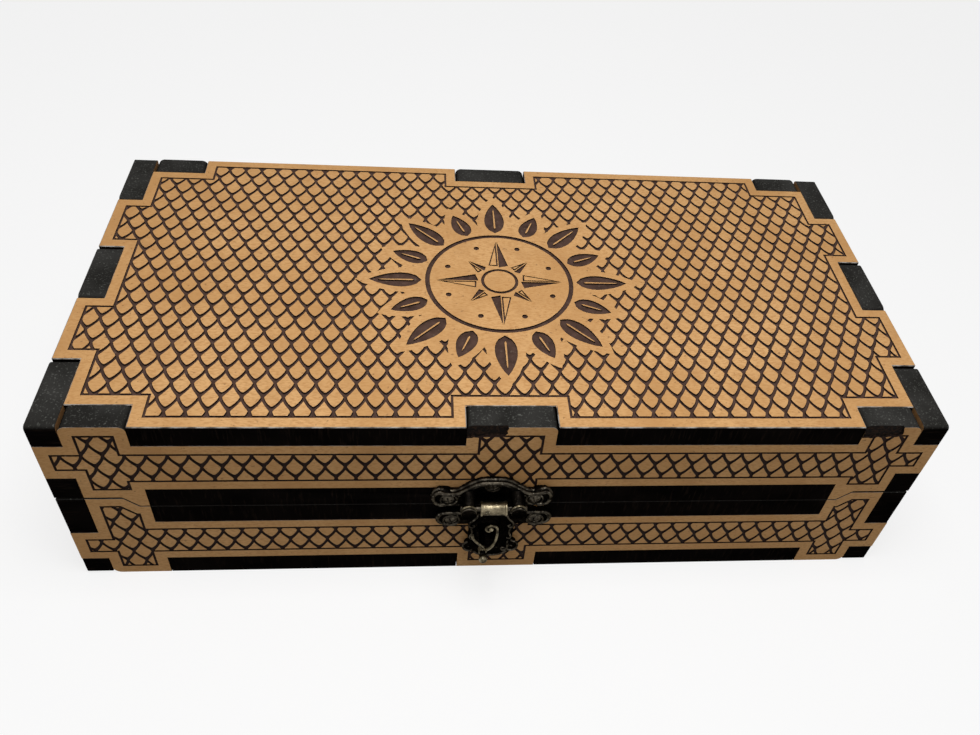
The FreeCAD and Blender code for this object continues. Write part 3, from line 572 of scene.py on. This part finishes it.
def engrave(node, side, size, openings, ramp, start, body, spared=None, motif=None, torn=()):
    depth, line = engraving["depth"], engraving["line"] / 2
    margin = engraving["margin"]
    inner = field(size, openings, ramp, margin + line, (-depth - 0.5, 1.5))
    raised = combine(scales(size, start, (-depth - 0.2, 0.2)), inner, "INTERSECT")
    cut = field(size, openings, ramp, margin - line, (-depth, 1))
    combine(cut, raised, "DIFFERENCE")
    if spared:
        combine(cut, spared, "DIFFERENCE")
    if motif:
        combine(cut, motif, "UNION")
    place = placeOn(node, side)
    cut.data.transform(place)
    name = node.replace("_panel", "_engraved")
    out = place.to_3x3().col[2].normalized()
    shape = copyOf(node, 0)
    if body == "lid":
        roundTabs(shape, out)
    soften(shape, engraving["chamfer"], 1)
    board = combine(linked(name, shape), cut, "DIFFERENCE")
    for points in torn:
        tool = tornPlace(points, damage["depth"])
        tool.data.transform(place)
        combine(board, tool, "DIFFERENCE")
    level = place.translation.dot(out)
    thickness = "XYZ"[max(range(3), key=lambda axis: abs(out[axis]))]
    skins = {
        "face": face, "edge": edgeAlong[thickness], "floor": groove if side == "top" else shadedUprightGroove,
        "wall": grooveWall, "torn": tornBoard, "corner": wornAndHighlitCorner, "back": back,
    }
    number = {skin: index for index, skin in enumerate(skins)}
    near = 0.1       # a face whose lowest point is this near to the engraved depth is engraved
    dress(board, *skins.values())
    for polygon in board.data.polygons:
        lean = polygon.normal.dot(out)
        lowest = min(board.data.vertices[index].co.dot(out) - level for index in polygon.vertices) / mm
        if -damage["depth"] - near < lowest < -depth - near:
            skin = "torn"
        elif -depth - near < lowest < -depth + near:
            skin = "floor" if abs(lean) > 0.9 else "wall"
        # upward eased edges: pale grey, painted highlight with some rubbing
        elif polygon.normal.z > 0.3 and 0.3 < lean < 0.9:
            skin = "corner"
        # inward faces take the darker back: smoke stain and painted shade
        elif abs(lean) > 0.9:
            skin = "face" if lean > 0 else "back"
        else:
            skin = "edge"
        polygon.material_index = number[skin]
    settle(board, body, "fibreboard", node, smooth=0)
    print("engraved", node, len(board.data.polygons), "faces")
    return board


# medallion on the lid: a plain compass star in a wreath of leaves
medallion = {
    "middle": (0.0, -1.0), "depth": 0.46,
    "spared": 21.6,       # radius of the plain ground
    "collar": 2.1,        # how far that ground runs out round each leaf
    "leaves": 16, "leafRoot": 20.4, "leafTip": 34.0, "shortTip": 30.4, "leafWidth": 5.6,
    "slimmer": 0.9,       # a short leaf's width beside a long one's
    "ring": (18.3, 19.5), "innerRing": (4.1, 4.9),
    "longPoint": 16.6, "shortPoint": 11.2, "pointRoot": 5.6, "shoulder": 0.7, "waist": 5.3,
    "narrower": 0.62,     # a short point's waist beside a long one's
    "split": 0.12,        # from a point's middle to each half of it
    "hollow": (0.5, 1.0, 2.6, 0.45),      # in its outlined half: from the middle, foot, tip and waist
    "dot": 0.75, "dotPlace": 14.6,
    "vein": (0.24, 0.16),                 # half its width at the root and at the tip
    "veinRoot": (2.0, 2.6), "veinTip": (2.4, 3.4),      # its end and its full width, from the leaf's own ends
}


def raiseFaces(shape, faces, out):
    raised = bmesh.ops.extrude_face_region(shape, geom=faces, use_keep_orig=True)
    bmesh.ops.translate(shape, vec=(0, 0, out[1] - out[0]), verts=vertsOf(raised["geom"]))
    bmesh.ops.recalc_face_normals(shape, faces=shape.faces)


def disc(radius, out, segments=128):
    shape = bmesh.new()
    bmesh.ops.create_circle(shape, cap_ends=True, radius=radius, segments=segments)
    bmesh.ops.translate(shape, vec=(*medallion["middle"], out[0]), verts=shape.verts)
    raiseFaces(shape, shape.faces[:], out)
    return linked("disc", shape)


def annulus(radii, out):
    inner, outer = radii
    beyond = (out[0] - 1, out[1] + 1)
    return combine(disc(outer, out), disc(inner, beyond), "DIFFERENCE")


def fanned(points, count, offset, out, every=1):
    # one flat shape, repeated round the medallion
    shape = bmesh.new()
    for number in range(0, count, every):
        angle = 2 * math.pi * (number + offset) / count
        corners = [shape.verts.new((across, up, out[0])) for across, up in points]
        shape.faces.new(corners)
        bmesh.ops.rotate(shape, cent=(0, 0, 0), matrix=Matrix.Rotation(-angle, 3, "Z"), verts=corners)
    bmesh.ops.translate(shape, vec=(*medallion["middle"], 0), verts=shape.verts)
    raiseFaces(shape, shape.faces[:], out)
    return linked("fanned", shape)


def leafPoints(root, tip, width):
    # a leaf with a drawn-out tip, widest at two fifths of its length
    steps = 10
    side = []
    for step in range(1, steps):
        along = step / steps
        side.append((width / 2 * math.sin(math.pi * along ** 0.75) ** 0.8, root + (tip - root) * along))
    return [(0, root)] + side + [(0, tip)] + [(-across, up) for across, up in side[::-1]]


def medallionGround(out):
    # what is left without scales: the middle and a rim round each leaf
    setting, rim = medallion, medallion["collar"]
    ground = disc(setting["spared"], out)
    for tip, width, offset in ((setting["leafTip"], setting["leafWidth"], 0),
                               (setting["shortTip"], setting["leafWidth"] * setting["slimmer"], 1)):
        leaf = leafPoints(setting["leafRoot"] - 4, tip + rim * 1.7, width + 2 * rim)
        combine(ground, fanned(leaf, setting["leaves"], offset, out, 2), "UNION")
    return ground


def medallionCut(out):
    setting = medallion
    root, count = setting["leafRoot"], setting["leaves"]
    long = leafPoints(root, setting["leafTip"], setting["leafWidth"])
    short = leafPoints(root, setting["shortTip"], setting["leafWidth"] * setting["slimmer"])
    cut = fanned(long, count, 0, out, 2)
    parts = [fanned(short, count, 1, out, 2)] + [annulus(setting[key], out) for key in ("ring", "innerRing")]
    # each point of the star is dark on its right half only, and outlined on its left
    foot, split, beyond = setting["pointRoot"], setting["split"], (out[0] - 1, out[1] + 1)
    shoulder, (middle, above, below, aside) = foot + setting["shoulder"], setting["hollow"]
    points = ((setting["longPoint"], 1, 0), (setting["shortPoint"], setting["narrower"], 0.5))
    for length, share, offset in points:
        width = setting["waist"] / 2 * share
        parts.append(fanned([(split, foot), (split, length), (width, shoulder)], 4, offset, out))
        outline = [(-split, foot + 0.5), (-split, length), (-width, shoulder)]
        inner = [(-middle, foot + above), (-middle, length - below), (-width + aside, foot + above)]
        parts.append(combine(fanned(outline, 4, offset, out), fanned(inner, 4, offset, beyond), "DIFFERENCE"))
    dot, place = setting["dot"], setting["dotPlace"]
    turns = [turn * math.pi / 6 for turn in range(12)]
    spot = [(dot * math.sin(turn), place + dot * math.cos(turn)) for turn in turns]
    parts.append(fanned(spot, 8, 0.5, out))
    for part in parts:
        combine(cut, part, "UNION")
    # a raised vein in every leaf
    (thick, thin), (first, wide), (last, narrow) = setting["vein"], setting["veinRoot"], setting["veinTip"]
    for tip, offset in ((setting["leafTip"], 0), (setting["shortTip"], 1)):
        vein = [(thick, root + wide), (thin, tip - narrow), (0, tip - last), (-thin, tip - narrow),
                (-thick, root + wide), (0, root + first)]
        combine(cut, fanned(vein, count, offset, beyond, 2), "DIFFERENCE")
    return cut


halfLength, halfDepth = chest["length"] / 2, chest["depth"] / 2
trayLevels = {"base": (0, chest["baseRim"] + chest["stepRise"]), "lid": (chest["lidRim"], chest["height"])}
for tray, levels in trayLevels.items():
    start = firstScale[tray]
    for sides, half, openings, first in (
            (("front", "back"), halfLength, longOpenings(tray), start),
            (("left", "right"), halfDepth, endOpenings(tray), (0, *start[1:]))):
        ramp = half - chest["stepReach"] - chest["stepRun"] if tray == "base" else None
        for side in sides:
            node = f"{tray}_{side}_panel"
            engrave(node, side, ((-half, half), levels), openings, ramp, first, tray,
                    torn=damage.get(node, ()))
engrave("lid_top_panel", "top", ((-halfLength, halfLength), (-halfDepth, halfDepth)), topOpenings(), None,
        firstScale["top"], "lid", medallionGround((-3, 3)), medallionCut((-medallion["depth"], 1)))
print("boards engraved")


# the decks' faces darken along their outer cut: laser scorch, and painted shade in the gap between lid and
# base
deckFace = rawBoardFace("fibreboard deck face", boardFinish, (halfLength * mm, halfDepth * mm))


def plainBoard(node, body):
    board = linked(node.replace("_panel", "") + "_board", copyOf(node, chest["eased"]))
    dress(board, deckFace, edgeAlong["Z"])
    for polygon in board.data.polygons:
        polygon.material_index = 0 if abs(polygon.normal.z) > 0.9 else 1
    return settle(board, body, "fibreboard", node)


for node, body in (("base_bottom_panel", "base"), ("base_deck", "base"), ("lower_well_layer", "base"),
                   ("upper_well_layer", "base"), ("lid_deck", "lid")):
    plainBoard(node, body)


liner = {"step": 4.0, "uneven": 0.07, "waves": 90, "edge": 0.3}


def feltLiner(node, body, upward):
    # a cut sheet of felt whose open face is a little uneven: upward is 1 where that face looks up, or -1
    low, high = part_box(node)
    size, middle = high - low, (low + high) / 2
    shape = bmesh.new()
    step = liner["step"] * mm
    bmesh.ops.create_grid(shape, x_segments=int(size.x / step), y_segments=int(size.y / step), size=0.5)
    bmesh.ops.scale(shape, vec=(size.x, size.y, 1), verts=shape.verts)
    bmesh.ops.translate(shape, vec=(middle.x, middle.y, (high if upward > 0 else low).z), verts=shape.verts)
    for vert in shape.verts:
        vert.co.z -= upward * liner["uneven"] * mm * (1 + noise.noise(vert.co * liner["waves"]))
    openFace = list(shape.faces)
    raised = bmesh.ops.extrude_face_region(shape, geom=openFace, use_keep_orig=True)
    for vert in vertsOf(raised["geom"]):
        vert.co.z = (low if upward > 0 else high).z
    bmesh.ops.recalc_face_normals(shape, faces=shape.faces)
    sharp = [edge for edge in shape.edges if edge.calc_face_angle(0) > math.radians(60)]
    eased(shape, sharp, liner["edge"], 2)
    piece = linked(node + "_sheet", shape)
    dress(piece, felt)
    return settle(piece, body, "felt", node)


pad = feltLiner("base_felt_pad", "base", 1)
trayFelt = feltLiner("lid_tray_felt", "lid", -1)
print("inside made")


# latch: sizes in millimetres on the chest's front, from the latch's middle, the floor and the face
latch = {
    "place": -3.15, "pinRise": 34.9, "pinOut": 6.1, "screwSpan": 10.35, "screwHeadOut": 2.2, "softness": 0.22,
}
frontFace = Matrix.Translation((latch["place"] * mm, 0, 0)) @ placeOn("base_front_panel", "front")


def beads(paths, place, index=0):
    # smooth round beads through control points: across, up, out and the bead's radius
    curve = bpy.data.curves.new("beads", "CURVE")
    curve.dimensions = "3D"
    curve.bevel_depth = 1
    curve.bevel_resolution = 2
    curve.resolution_u = 5
    curve.use_fill_caps = True
    for path in paths:
        spline = curve.splines.new("NURBS")
        spline.points.add(len(path) - 1)
        for point, (across, up, out, radius) in zip(spline.points, path):
            point.co = (across, up, out, 1)
            point.radius = radius
        spline.order_u = 4
        spline.use_endpoint_u = True
    holder = bpy.data.objects.new("beads", curve)
    mesh = bpy.data.meshes.new_from_object(holder)
    bpy.data.objects.remove(holder)
    mesh.transform(place)
    for polygon in mesh.polygons:
        polygon.material_index = index
    return mesh


def ring(middle, radius, thickness, place, turn=Matrix(), index=0):
    # a round bead spun about the face's outward axis, or turned from it
    shape = bmesh.new()
    profile = bmesh.ops.create_circle(shape, radius=thickness, segments=10)["verts"]
    bmesh.ops.rotate(shape, cent=(0, 0, 0), matrix=Matrix.Rotation(math.pi / 2, 3, "X"), verts=profile)
    bmesh.ops.translate(shape, vec=(radius, 0, 0), verts=profile)
    bmesh.ops.spin(shape, geom=shape.verts[:] + shape.edges[:], cent=(0, 0, 0), axis=(0, 0, 1),
                   angle=2 * math.pi, steps=32, use_merge=True)
    bmesh.ops.recalc_face_normals(shape, faces=shape.faces)
    mesh = bpy.data.meshes.new("ring")
    shape.to_mesh(mesh)
    shape.free()
    mesh.transform(place @ Matrix.Translation(middle) @ turn)
    for polygon in mesh.polygons:
        polygon.material_index = index
    return mesh


def raisedTo(level, paths):
    return [[(across, up, level, radius) for across, up, radius in path] for path in paths]


def mirrored(paths):
    return paths + [[(-across, up, out, radius) for across, up, out, radius in path] for path in paths]


def cast(node, name, body, parts, slot="antique_bronze", cutters=(), bright=None, main=0):
    # a softened copy of the CAD piece with its cast ornament on it
    whole = linked(name, copyOf(node, 0 if cutters else latch["softness"], 2))
    for cutter in cutters:
        combine(whole, cutter, "DIFFERENCE")
    shape = bmesh.new()
    shape.from_mesh(whole.data)
    if cutters:
        soften(shape, latch["softness"], 2)
    for polygon in shape.faces:
        polygon.material_index = 2 if bright and bright(polygon.calc_center_median()) else main
    for part in parts:
        shape.from_mesh(part)
    dress(whole, bronze, rimBronze, rubbedAndHighlitBronze)
    shape.to_mesh(whole.data)
    shape.free()
    return settle(whole, body, slot, node, smooth=50)


def onFace(point):
    return frontFace.inverted() @ point


upperPlate = {
    "rim": 0.5, "face": 1.6, "rimBack": 0.9, "rimFront": 1.95, "earScrewRise": 32.2, "topScrewRise": 37.3,
    "postSpan": 5.85, "postRadius": 1.62, "postOut": 7.42,
    # each ring's radius and its bead's
    "topScrewRing": (1.8, 0.24), "screwRing": (2.0, 0.28), "outerRing": (2.35, 0.2), "postFoot": (1.75, 0.35),
    "innerRim": (0.9, 1.15, 0.2),      # its reach beside the rim's, how far it lies below it, and its bead
    "webShoulder": (9.5, 33.5),
    # half of the outline, from the top of the arch down to the ear and round it
    "outline": [(0, 39.0), (3.0, 39.15), (5.2, 37.7), (7.2, 35.8), (9.1, 34.6), (11.1, 34.7), (12.8, 35.9),
                (14.2, 34.6), (14.1, 31.9), (12.7, 30.4), (11.0, 30.7)],
    # a bright crescent over each post's end, a painted highlight where the overhead light catches it: across
    # from the post, up from the pin, out, and its radius
    "highlightCrescent": [(-1.75, 0.3, 7.0, 0.15), (-1.5, 1.4, 6.9, 0.3), (0, 2.25, 6.8, 0.36), (1.5, 1.4, 6.9, 0.3),
                 (1.75, 0.3, 7.0, 0.15)],
    # the lower edge from ear to ear: across, up, out and its bead's radius
    "sill": [(-10.4, 30.1, 1.5, 0.4), (-8, 29.9, 1.5, 0.4), (8, 29.9, 1.5, 0.4), (10.4, 30.1, 1.5, 0.4)],
}


def makeUpperPlate():
    # a raised rim over the arch, down to the ears and round them
    setting, pin = upperPlate, latch["pinRise"]
    half, rim, face = setting["outline"], setting["rim"], setting["face"]
    outline = [(-across, up) for across, up in half[:0:-1]] + half
    rise, (share, drop, bead) = setting["earScrewRise"], setting["innerRim"]
    parts = [
        beads([[(across, up, setting["rimBack"], rim * 1.15) for across, up in outline],
               [(across, up, setting["rimFront"], rim) for across, up in outline]], frontFace, 1),
        beads([[(across * share, up - drop, face + 0.02, bead) for across, up in outline[6:-6]]],
              frontFace, 1),
        beads([setting["sill"]], frontFace),
        ring((0, setting["topScrewRise"], face), *setting["topScrewRing"], frontFace, index=1),
    ]
    for side in (-1, 1):
        post, screw = side * setting["postSpan"], side * latch["screwSpan"]
        highlightCrescent = [(post + across, pin + up, out, radius) for across, up, out, radius in setting["highlightCrescent"]]
        parts += [ring((screw, rise, face + 0.02), *setting["screwRing"], frontFace, index=1),
                  ring((screw * 1.09, rise + 0.7, face), *setting["outerRing"], frontFace),
                  ring((post, pin, setting["postOut"]), setting["postRadius"], 0.28, frontFace, index=1),
                  # the crescent in the rubbed bronze: a painted highlight
                  beads([highlightCrescent], frontFace, 2),
                  ring((post, pin, face + 0.1), *setting["postFoot"], frontFace)]
    web = bmesh.new()
    inside = [(across * 0.985, up - 0.1) for across, up in outline[3:-3]]
    across, up = setting["webShoulder"]
    corners = [web.verts.new((*point, 0.02)) for point in inside + [(across, up), (-across, up)]]
    web.faces.new(corners)
    raiseFaces(web, web.faces[:], (0.02, 1.55))
    bmesh.ops.transform(web, matrix=frontFace, verts=web.verts)
    parts.append(bpy.data.meshes.new("web"))
    web.to_mesh(parts[-1])
    web.free()
    cast("latch_upper_plate", "latch_upper_casting", "lid", parts)
    cast("latch_pin", "latch_hinge_pin", "lid", [], main=1)


tongue = {
    "face": 5.7, "barrelHalf": 3.15, "barrelRadius": 1.75, "collarRadius": 1.52, "collar": 0.3,
    # across, up and radius of each cut in the sides
    "scallops": [(6.6, 31.6, 2.5), (6.1, 24.3, 1.15), (5.95, 20.4, 1.1), (4.4, 15.5, 0.8)],
    # across, up and the bead's radius
    "sideScrolls": [
        [(3.2, 32.4, 0.3), (3.5, 31.0, 0.3), (4.1, 29.7, 0.3), (5.3, 28.6, 0.3), (5.5, 26.9, 0.3),
         (4.4, 26.2, 0.26), (3.8, 27.4, 0.22), (4.6, 27.6, 0.2)],
        [(4.9, 26.1, 0.22), (4.3, 24.9, 0.3), (4.7, 23.3, 0.3), (5.3, 22.2, 0.26), (4.5, 21.4, 0.22),
         (4.0, 22.2, 0.18)],
    ],
    "footScroll": [(4.5, 21.0, 0.22), (4.3, 19.6, 0.3), (4.8, 18.0, 0.3), (3.9, 16.3, 0.3), (2.8, 16.9, 0.26),
                   (3.2, 18.1, 0.22), (3.8, 17.6, 0.2)],
}


def makeTongue():
    # scalloped sides with a scroll in each, and a bright barrel between two collars
    setting, pin, pinOut = tongue, latch["pinRise"], latch["pinOut"]
    cutters = []
    for across, up, radius in setting["scallops"]:
        for side in (-1, 1):
            tool = bmesh.new()
            bmesh.ops.create_cone(tool, cap_ends=True, segments=32, radius1=radius, radius2=radius, depth=4)
            bmesh.ops.translate(tool, vec=(side * across, up, setting["face"] - 0.6), verts=tool.verts)
            bmesh.ops.transform(tool, matrix=frontFace, verts=tool.verts)
            cutters.append(linked("scallop", tool))
    scrolls = mirrored(raisedTo(setting["face"], setting["sideScrolls"]))
    scrolls += raisedTo(setting["face"], [setting["footScroll"]])
    turn = Matrix.Rotation(math.pi / 2, 4, "Y")
    # the collars, and the barrel below, in the rubbed bronze: rubbed wear and painted highlight
    collars = [ring((side * (setting["barrelHalf"] - setting["collar"]), pin, pinOut),
                    setting["collarRadius"], setting["collar"], frontFace, turn, 2) for side in (-1, 1)]
    cast("latch_tongue", "latch_hasp", "tongue", [beads(scrolls, frontFace, 1)] + collars, cutters=cutters,
         bright=lambda at: math.hypot(onFace(at).y - pin, onFace(at).z - pinOut) < setting["barrelRadius"])


lowerPlate = {
    "shift": 0.95, "screwRise": 23.7, "rimOut": 1.6, "scrollOut": 1.65,
    "screwRing": (2.0, 0.26), "outerRing": (2.5, 0.16),
    "earRim": [(3.4, 26.7, 0.36), (7.5, 26.7, 0.42), (10.8, 26.8, 0.42), (13.5, 26.8, 0.42),
               (14.3, 24.4, 0.42), (13.1, 22.1, 0.38), (11.0, 22.1, 0.32)],
    "scrolls": [
        [(5.0, 22.2, 0.3), (4.8, 19.0, 0.3), (4.7, 16.0, 0.3), (4.9, 14.3, 0.3), (6.8, 14.2, 0.3),
         (7.2, 11.0, 0.3), (5.1, 9.6, 0.3), (4.0, 11.3, 0.26), (4.8, 12.7, 0.22), (5.6, 12.0, 0.2)],
        [(4.3, 9.9, 0.26), (3.6, 8.6, 0.3), (2.0, 7.9, 0.3), (0, 7.95, 0.3)],
    ],
}


def makeLowerPlate():
    # rimmed ears, and a scroll in each lobe beside the foot
    setting, shift = lowerPlate, lowerPlate["shift"]
    lower = mirrored(raisedTo(setting["rimOut"], [setting["earRim"]])
                     + raisedTo(setting["scrollOut"], setting["scrolls"]))
    lower = [[(across + shift, up, out, radius) for across, up, out, radius in path] for path in lower]
    parts = [beads(lower, frontFace, 1)]
    for side in (-1, 1):
        screw, rise = side * latch["screwSpan"], setting["screwRise"]
        parts += [ring((screw + shift, rise, 1.62), *setting["screwRing"], frontFace, index=1),
                  ring((screw * 1.06 + shift, rise + 0.55, 1.6), *setting["outerRing"], frontFace, index=1)]
    cast("latch_lower_plate", "latch_lower_casting", "base", parts)


lever = {
    "pivot": (-1.75, 19.4), "out": 7.5, "ballOut": 8.8, "ballRing": (0.72, 0.2),
    "hub": {"radius1": 1.15, "radius2": 0.95, "depth": 1.15},
    "curl": (-0.2, 28.5), "curlReach": 1.5, "curlRod": 0.36, "curlBead": 0.62,
    "curlStart": -12, "curlTurn": 30,           # in degrees: where it starts, and each step of it
    "drawnIn": 0.03, "thinner": 0.008,          # its reach and its rod at each step
    # across, up and the bead's radius
    "longArm": [(-1.7, 19.3, 0.45), (-0.6, 19.6, 0.42), (0.5, 20.9, 0.38), (1.1, 23.2, 0.36),
                (1.4, 25.6, 0.36)],
    "shortArm": [(-1.6, 19.9, 0.42), (-1.5, 20.6, 0.4), (-2.4, 21.7, 0.34), (-3.5, 23.0, 0.32),
                 (-4.3, 24.3, 0.32), (-4.5, 25.3, 0.42), (-4.6, 25.9, 0.34)],
}


def makeLever():
    # a post with a ball end, and on it a long arm with a bead in its curl and a short arm up to the left
    setting, out = lever, lever["out"]
    across, up = setting["pivot"]
    ballRing = ring((across, up, setting["ballOut"] + 0.1), *setting["ballRing"], frontFace)
    cast("latch_lever_post", "latch_ball_post", "base", [ballRing],
         bright=lambda at: onFace(at).z > setting["ballOut"])
    shape = bmesh.new()
    bmesh.ops.create_cone(shape, cap_ends=True, segments=32, **setting["hub"])
    bmesh.ops.translate(shape, vec=(across, up, out), verts=shape.verts)
    bead = bmesh.ops.create_uvsphere(shape, u_segments=20, v_segments=12, radius=setting["curlBead"])["verts"]
    bmesh.ops.translate(shape, vec=(*setting["curl"], out), verts=bead)
    bmesh.ops.transform(shape, matrix=frontFace, verts=shape.verts)
    arms = raisedTo(out, [setting["longArm"], setting["shortArm"]])
    curlAcross, curlUp = setting["curl"]
    for step in range(10):
        angle = math.radians(setting["curlStart"] + setting["curlTurn"] * step)
        reach = setting["curlReach"] - setting["drawnIn"] * step
        arms[0].append((curlAcross + reach * math.cos(angle), curlUp + reach * math.sin(angle), out,
                        setting["curlRod"] - setting["thinner"] * step))
    arms[0].append((*setting["curl"], out, 0.3))
    shape.from_mesh(beads(arms, frontFace))
    for polygon in shape.faces:
        polygon.material_index = 0
    piece = linked("latch_swivel_lever", shape)
    dress(piece, leverBronze)
    settle(piece, "lever", "antique_bronze", "latch_lever", smooth=50)


screwSlot = {"reach": 1.15, "half": 0.2, "depth": 0.42, "turns": (20, 110)}


def crossSlots(node, name, body, places, out, place):
    # domed screw heads with a cross slot, each turned its own way
    slot = screwSlot
    whole = linked(name, copyOf(node, 0))
    for across, up in places:
        for turn in slot["turns"]:
            tool = bmesh.new()
            block(tool, (-slot["reach"], slot["reach"]), (-slot["half"], slot["half"]),
                  (out - slot["depth"], out + 1))
            turned = Matrix.Rotation(math.radians(turn + across * 9), 3, "Z")
            bmesh.ops.rotate(tool, cent=(0, 0, 0), matrix=turned, verts=tool.verts)
            bmesh.ops.transform(tool, matrix=place @ Matrix.Translation((across, up, 0)), verts=tool.verts)
            combine(whole, linked("slot", tool), "DIFFERENCE")
    dress(whole, rimBronze)
    return settle(whole, body, "screw_bronze", node, smooth=40)


makeUpperPlate()
makeTongue()
makeLowerPlate()
makeLever()
span, shift, headOut = latch["screwSpan"], lowerPlate["shift"], latch["screwHeadOut"]
upperScrews = [(-span, upperPlate["earScrewRise"]), (span, upperPlate["earScrewRise"]),
               (0, upperPlate["topScrewRise"])]
lowerScrews = [(-span + shift, lowerPlate["screwRise"]), (span + shift, lowerPlate["screwRise"])]
crossSlots("latch_upper_screws", "latch_upper_screw_heads", "lid", upperScrews, headOut, frontFace)
crossSlots("latch_lower_screws", "latch_lower_screw_heads", "base", lowerScrews, headOut, frontFace)

# hinges: from the chest's middle, the floor and the back
hinge = {"place": 60, "screwSpan": 6, "lidScrewRise": 33.5, "baseScrewRise": 23.5, "screwHeadOut": 1.49}
backFace = placeOn("base_back_panel", "back")
hingeColumns = [side * hinge["place"] + end * hinge["screwSpan"] for side in (-1, 1) for end in (-1, 1)]
for tray in ("lid", "base"):
    hingeScrews = [(column, hinge[f"{tray}ScrewRise"]) for column in hingeColumns]
    crossSlots(f"{tray}_hinge_screws", f"{tray}_hinge_screw_heads", tray, hingeScrews, hinge["screwHeadOut"],
               backFace)
for side in ("left", "right"):
    cast(f"{side}_hinge_base_leaf", f"{side}_hinge_lower_wing", "base", [])
    cast(f"{side}_hinge_lid_leaf", f"{side}_hinge_upper_wing", "lid", [])
    cast(f"{side}_hinge_pin", f"{side}_hinge_rod", "base", [], main=1)
print("latch and hinges made")


studio = {
    "floor": "#828282", "floorReach": 3, "floorGlow": 0.78, "world": 0.28, "worldSeen": 0.95,
    "topLight": 0.79, "topSize": 0.16, "topPlace": (0.0, -0.08, 0.36),
    "frontLight": 0.12, "frontSize": 0.6, "frontPlace": (-0.5, -1.0, 0.5), "lampAim": (0, 0, 0.03),
    "cameraPlace": (-22.585, -176.775, 208.238), "cameraTurn": (46.3624, -4.9858, -4.1663),
    "lens": 32.54, "shift": (-0.0232, -0.0397),
}


def seenRays(tree):
    # 1 where the camera, a reflection or a clear body looks at it
    path = addNode(tree, "LightPath").node.outputs
    rays = {0: path["Is Camera Ray"], 1: path["Is Glossy Ray"]}
    seen = addNode(tree, "Math", {"operation": "MAXIMUM"}, rays)
    return addNode(tree, "Math", {"operation": "MAXIMUM"}, {0: seen, 1: path["Is Transmission Ray"]})


def paleFloor():
    shape = bmesh.new()
    bmesh.ops.create_grid(shape, x_segments=1, y_segments=1, size=studio["floorReach"])
    floor = linked("floor", shape)
    material, shader = newMaterial("pale studio floor", Roughness=0.9, Specular_IOR_Level=0.1)
    shader.inputs["Base Color"].default_value = linear(studio["floor"])
    glow = addNode(material, "Emission", {"Color": "#ffffff", "Strength": studio["floorGlow"]})
    both = addNode(material, "AddShader", {}, {0: shader.outputs[0], 1: glow})
    mixed = addNode(material, "MixShader", {}, {0: seenRays(material), 1: shader.outputs[0], 2: both})
    material.node_tree.links.new(mixed, material.node_tree.nodes["Material Output"].inputs[0])
    dress(floor, material)


def softLight(name, power, size, place):
    lamp = bpy.data.lights.new(name, "AREA")
    lamp.energy = power
    lamp.size = size
    holder = bpy.data.objects.new(name, lamp)
    scene.collection.objects.link(holder)
    holder.location = place
    holder.rotation_euler = (Vector(studio["lampAim"]) - Vector(place)).to_track_quat("-Z", "Y").to_euler()


paleFloor()
softLight("overhead softbox", studio["topLight"], studio["topSize"], studio["topPlace"])
softLight("front fill", studio["frontLight"], studio["frontSize"], studio["frontPlace"])
world = bpy.data.worlds.new("studio")
world.use_nodes = True
background = world.node_tree.nodes["Background"]
background.inputs["Color"].default_value = linear("#ffffff")
level = addNode(world, "MapRange", {"To Min": studio["world"], "To Max": studio["worldSeen"]},
                {"Value": seenRays(world)})
world.node_tree.links.new(level, background.inputs["Strength"])
scene.world = world

camera = bpy.data.cameras.new("camera")
camera.lens = studio["lens"]
camera.sensor_width = 36
camera.shift_x, camera.shift_y = studio["shift"]
camera.clip_start = 0.01
viewer = bpy.data.objects.new("camera", camera)
scene.collection.objects.link(viewer)
viewer.location = Vector(studio["cameraPlace"]) * mm
viewer.rotation_euler = [math.radians(turn) for turn in studio["cameraTurn"]]
scene.camera = viewer
scene.view_settings.view_transform = "Standard"
print("studio set")
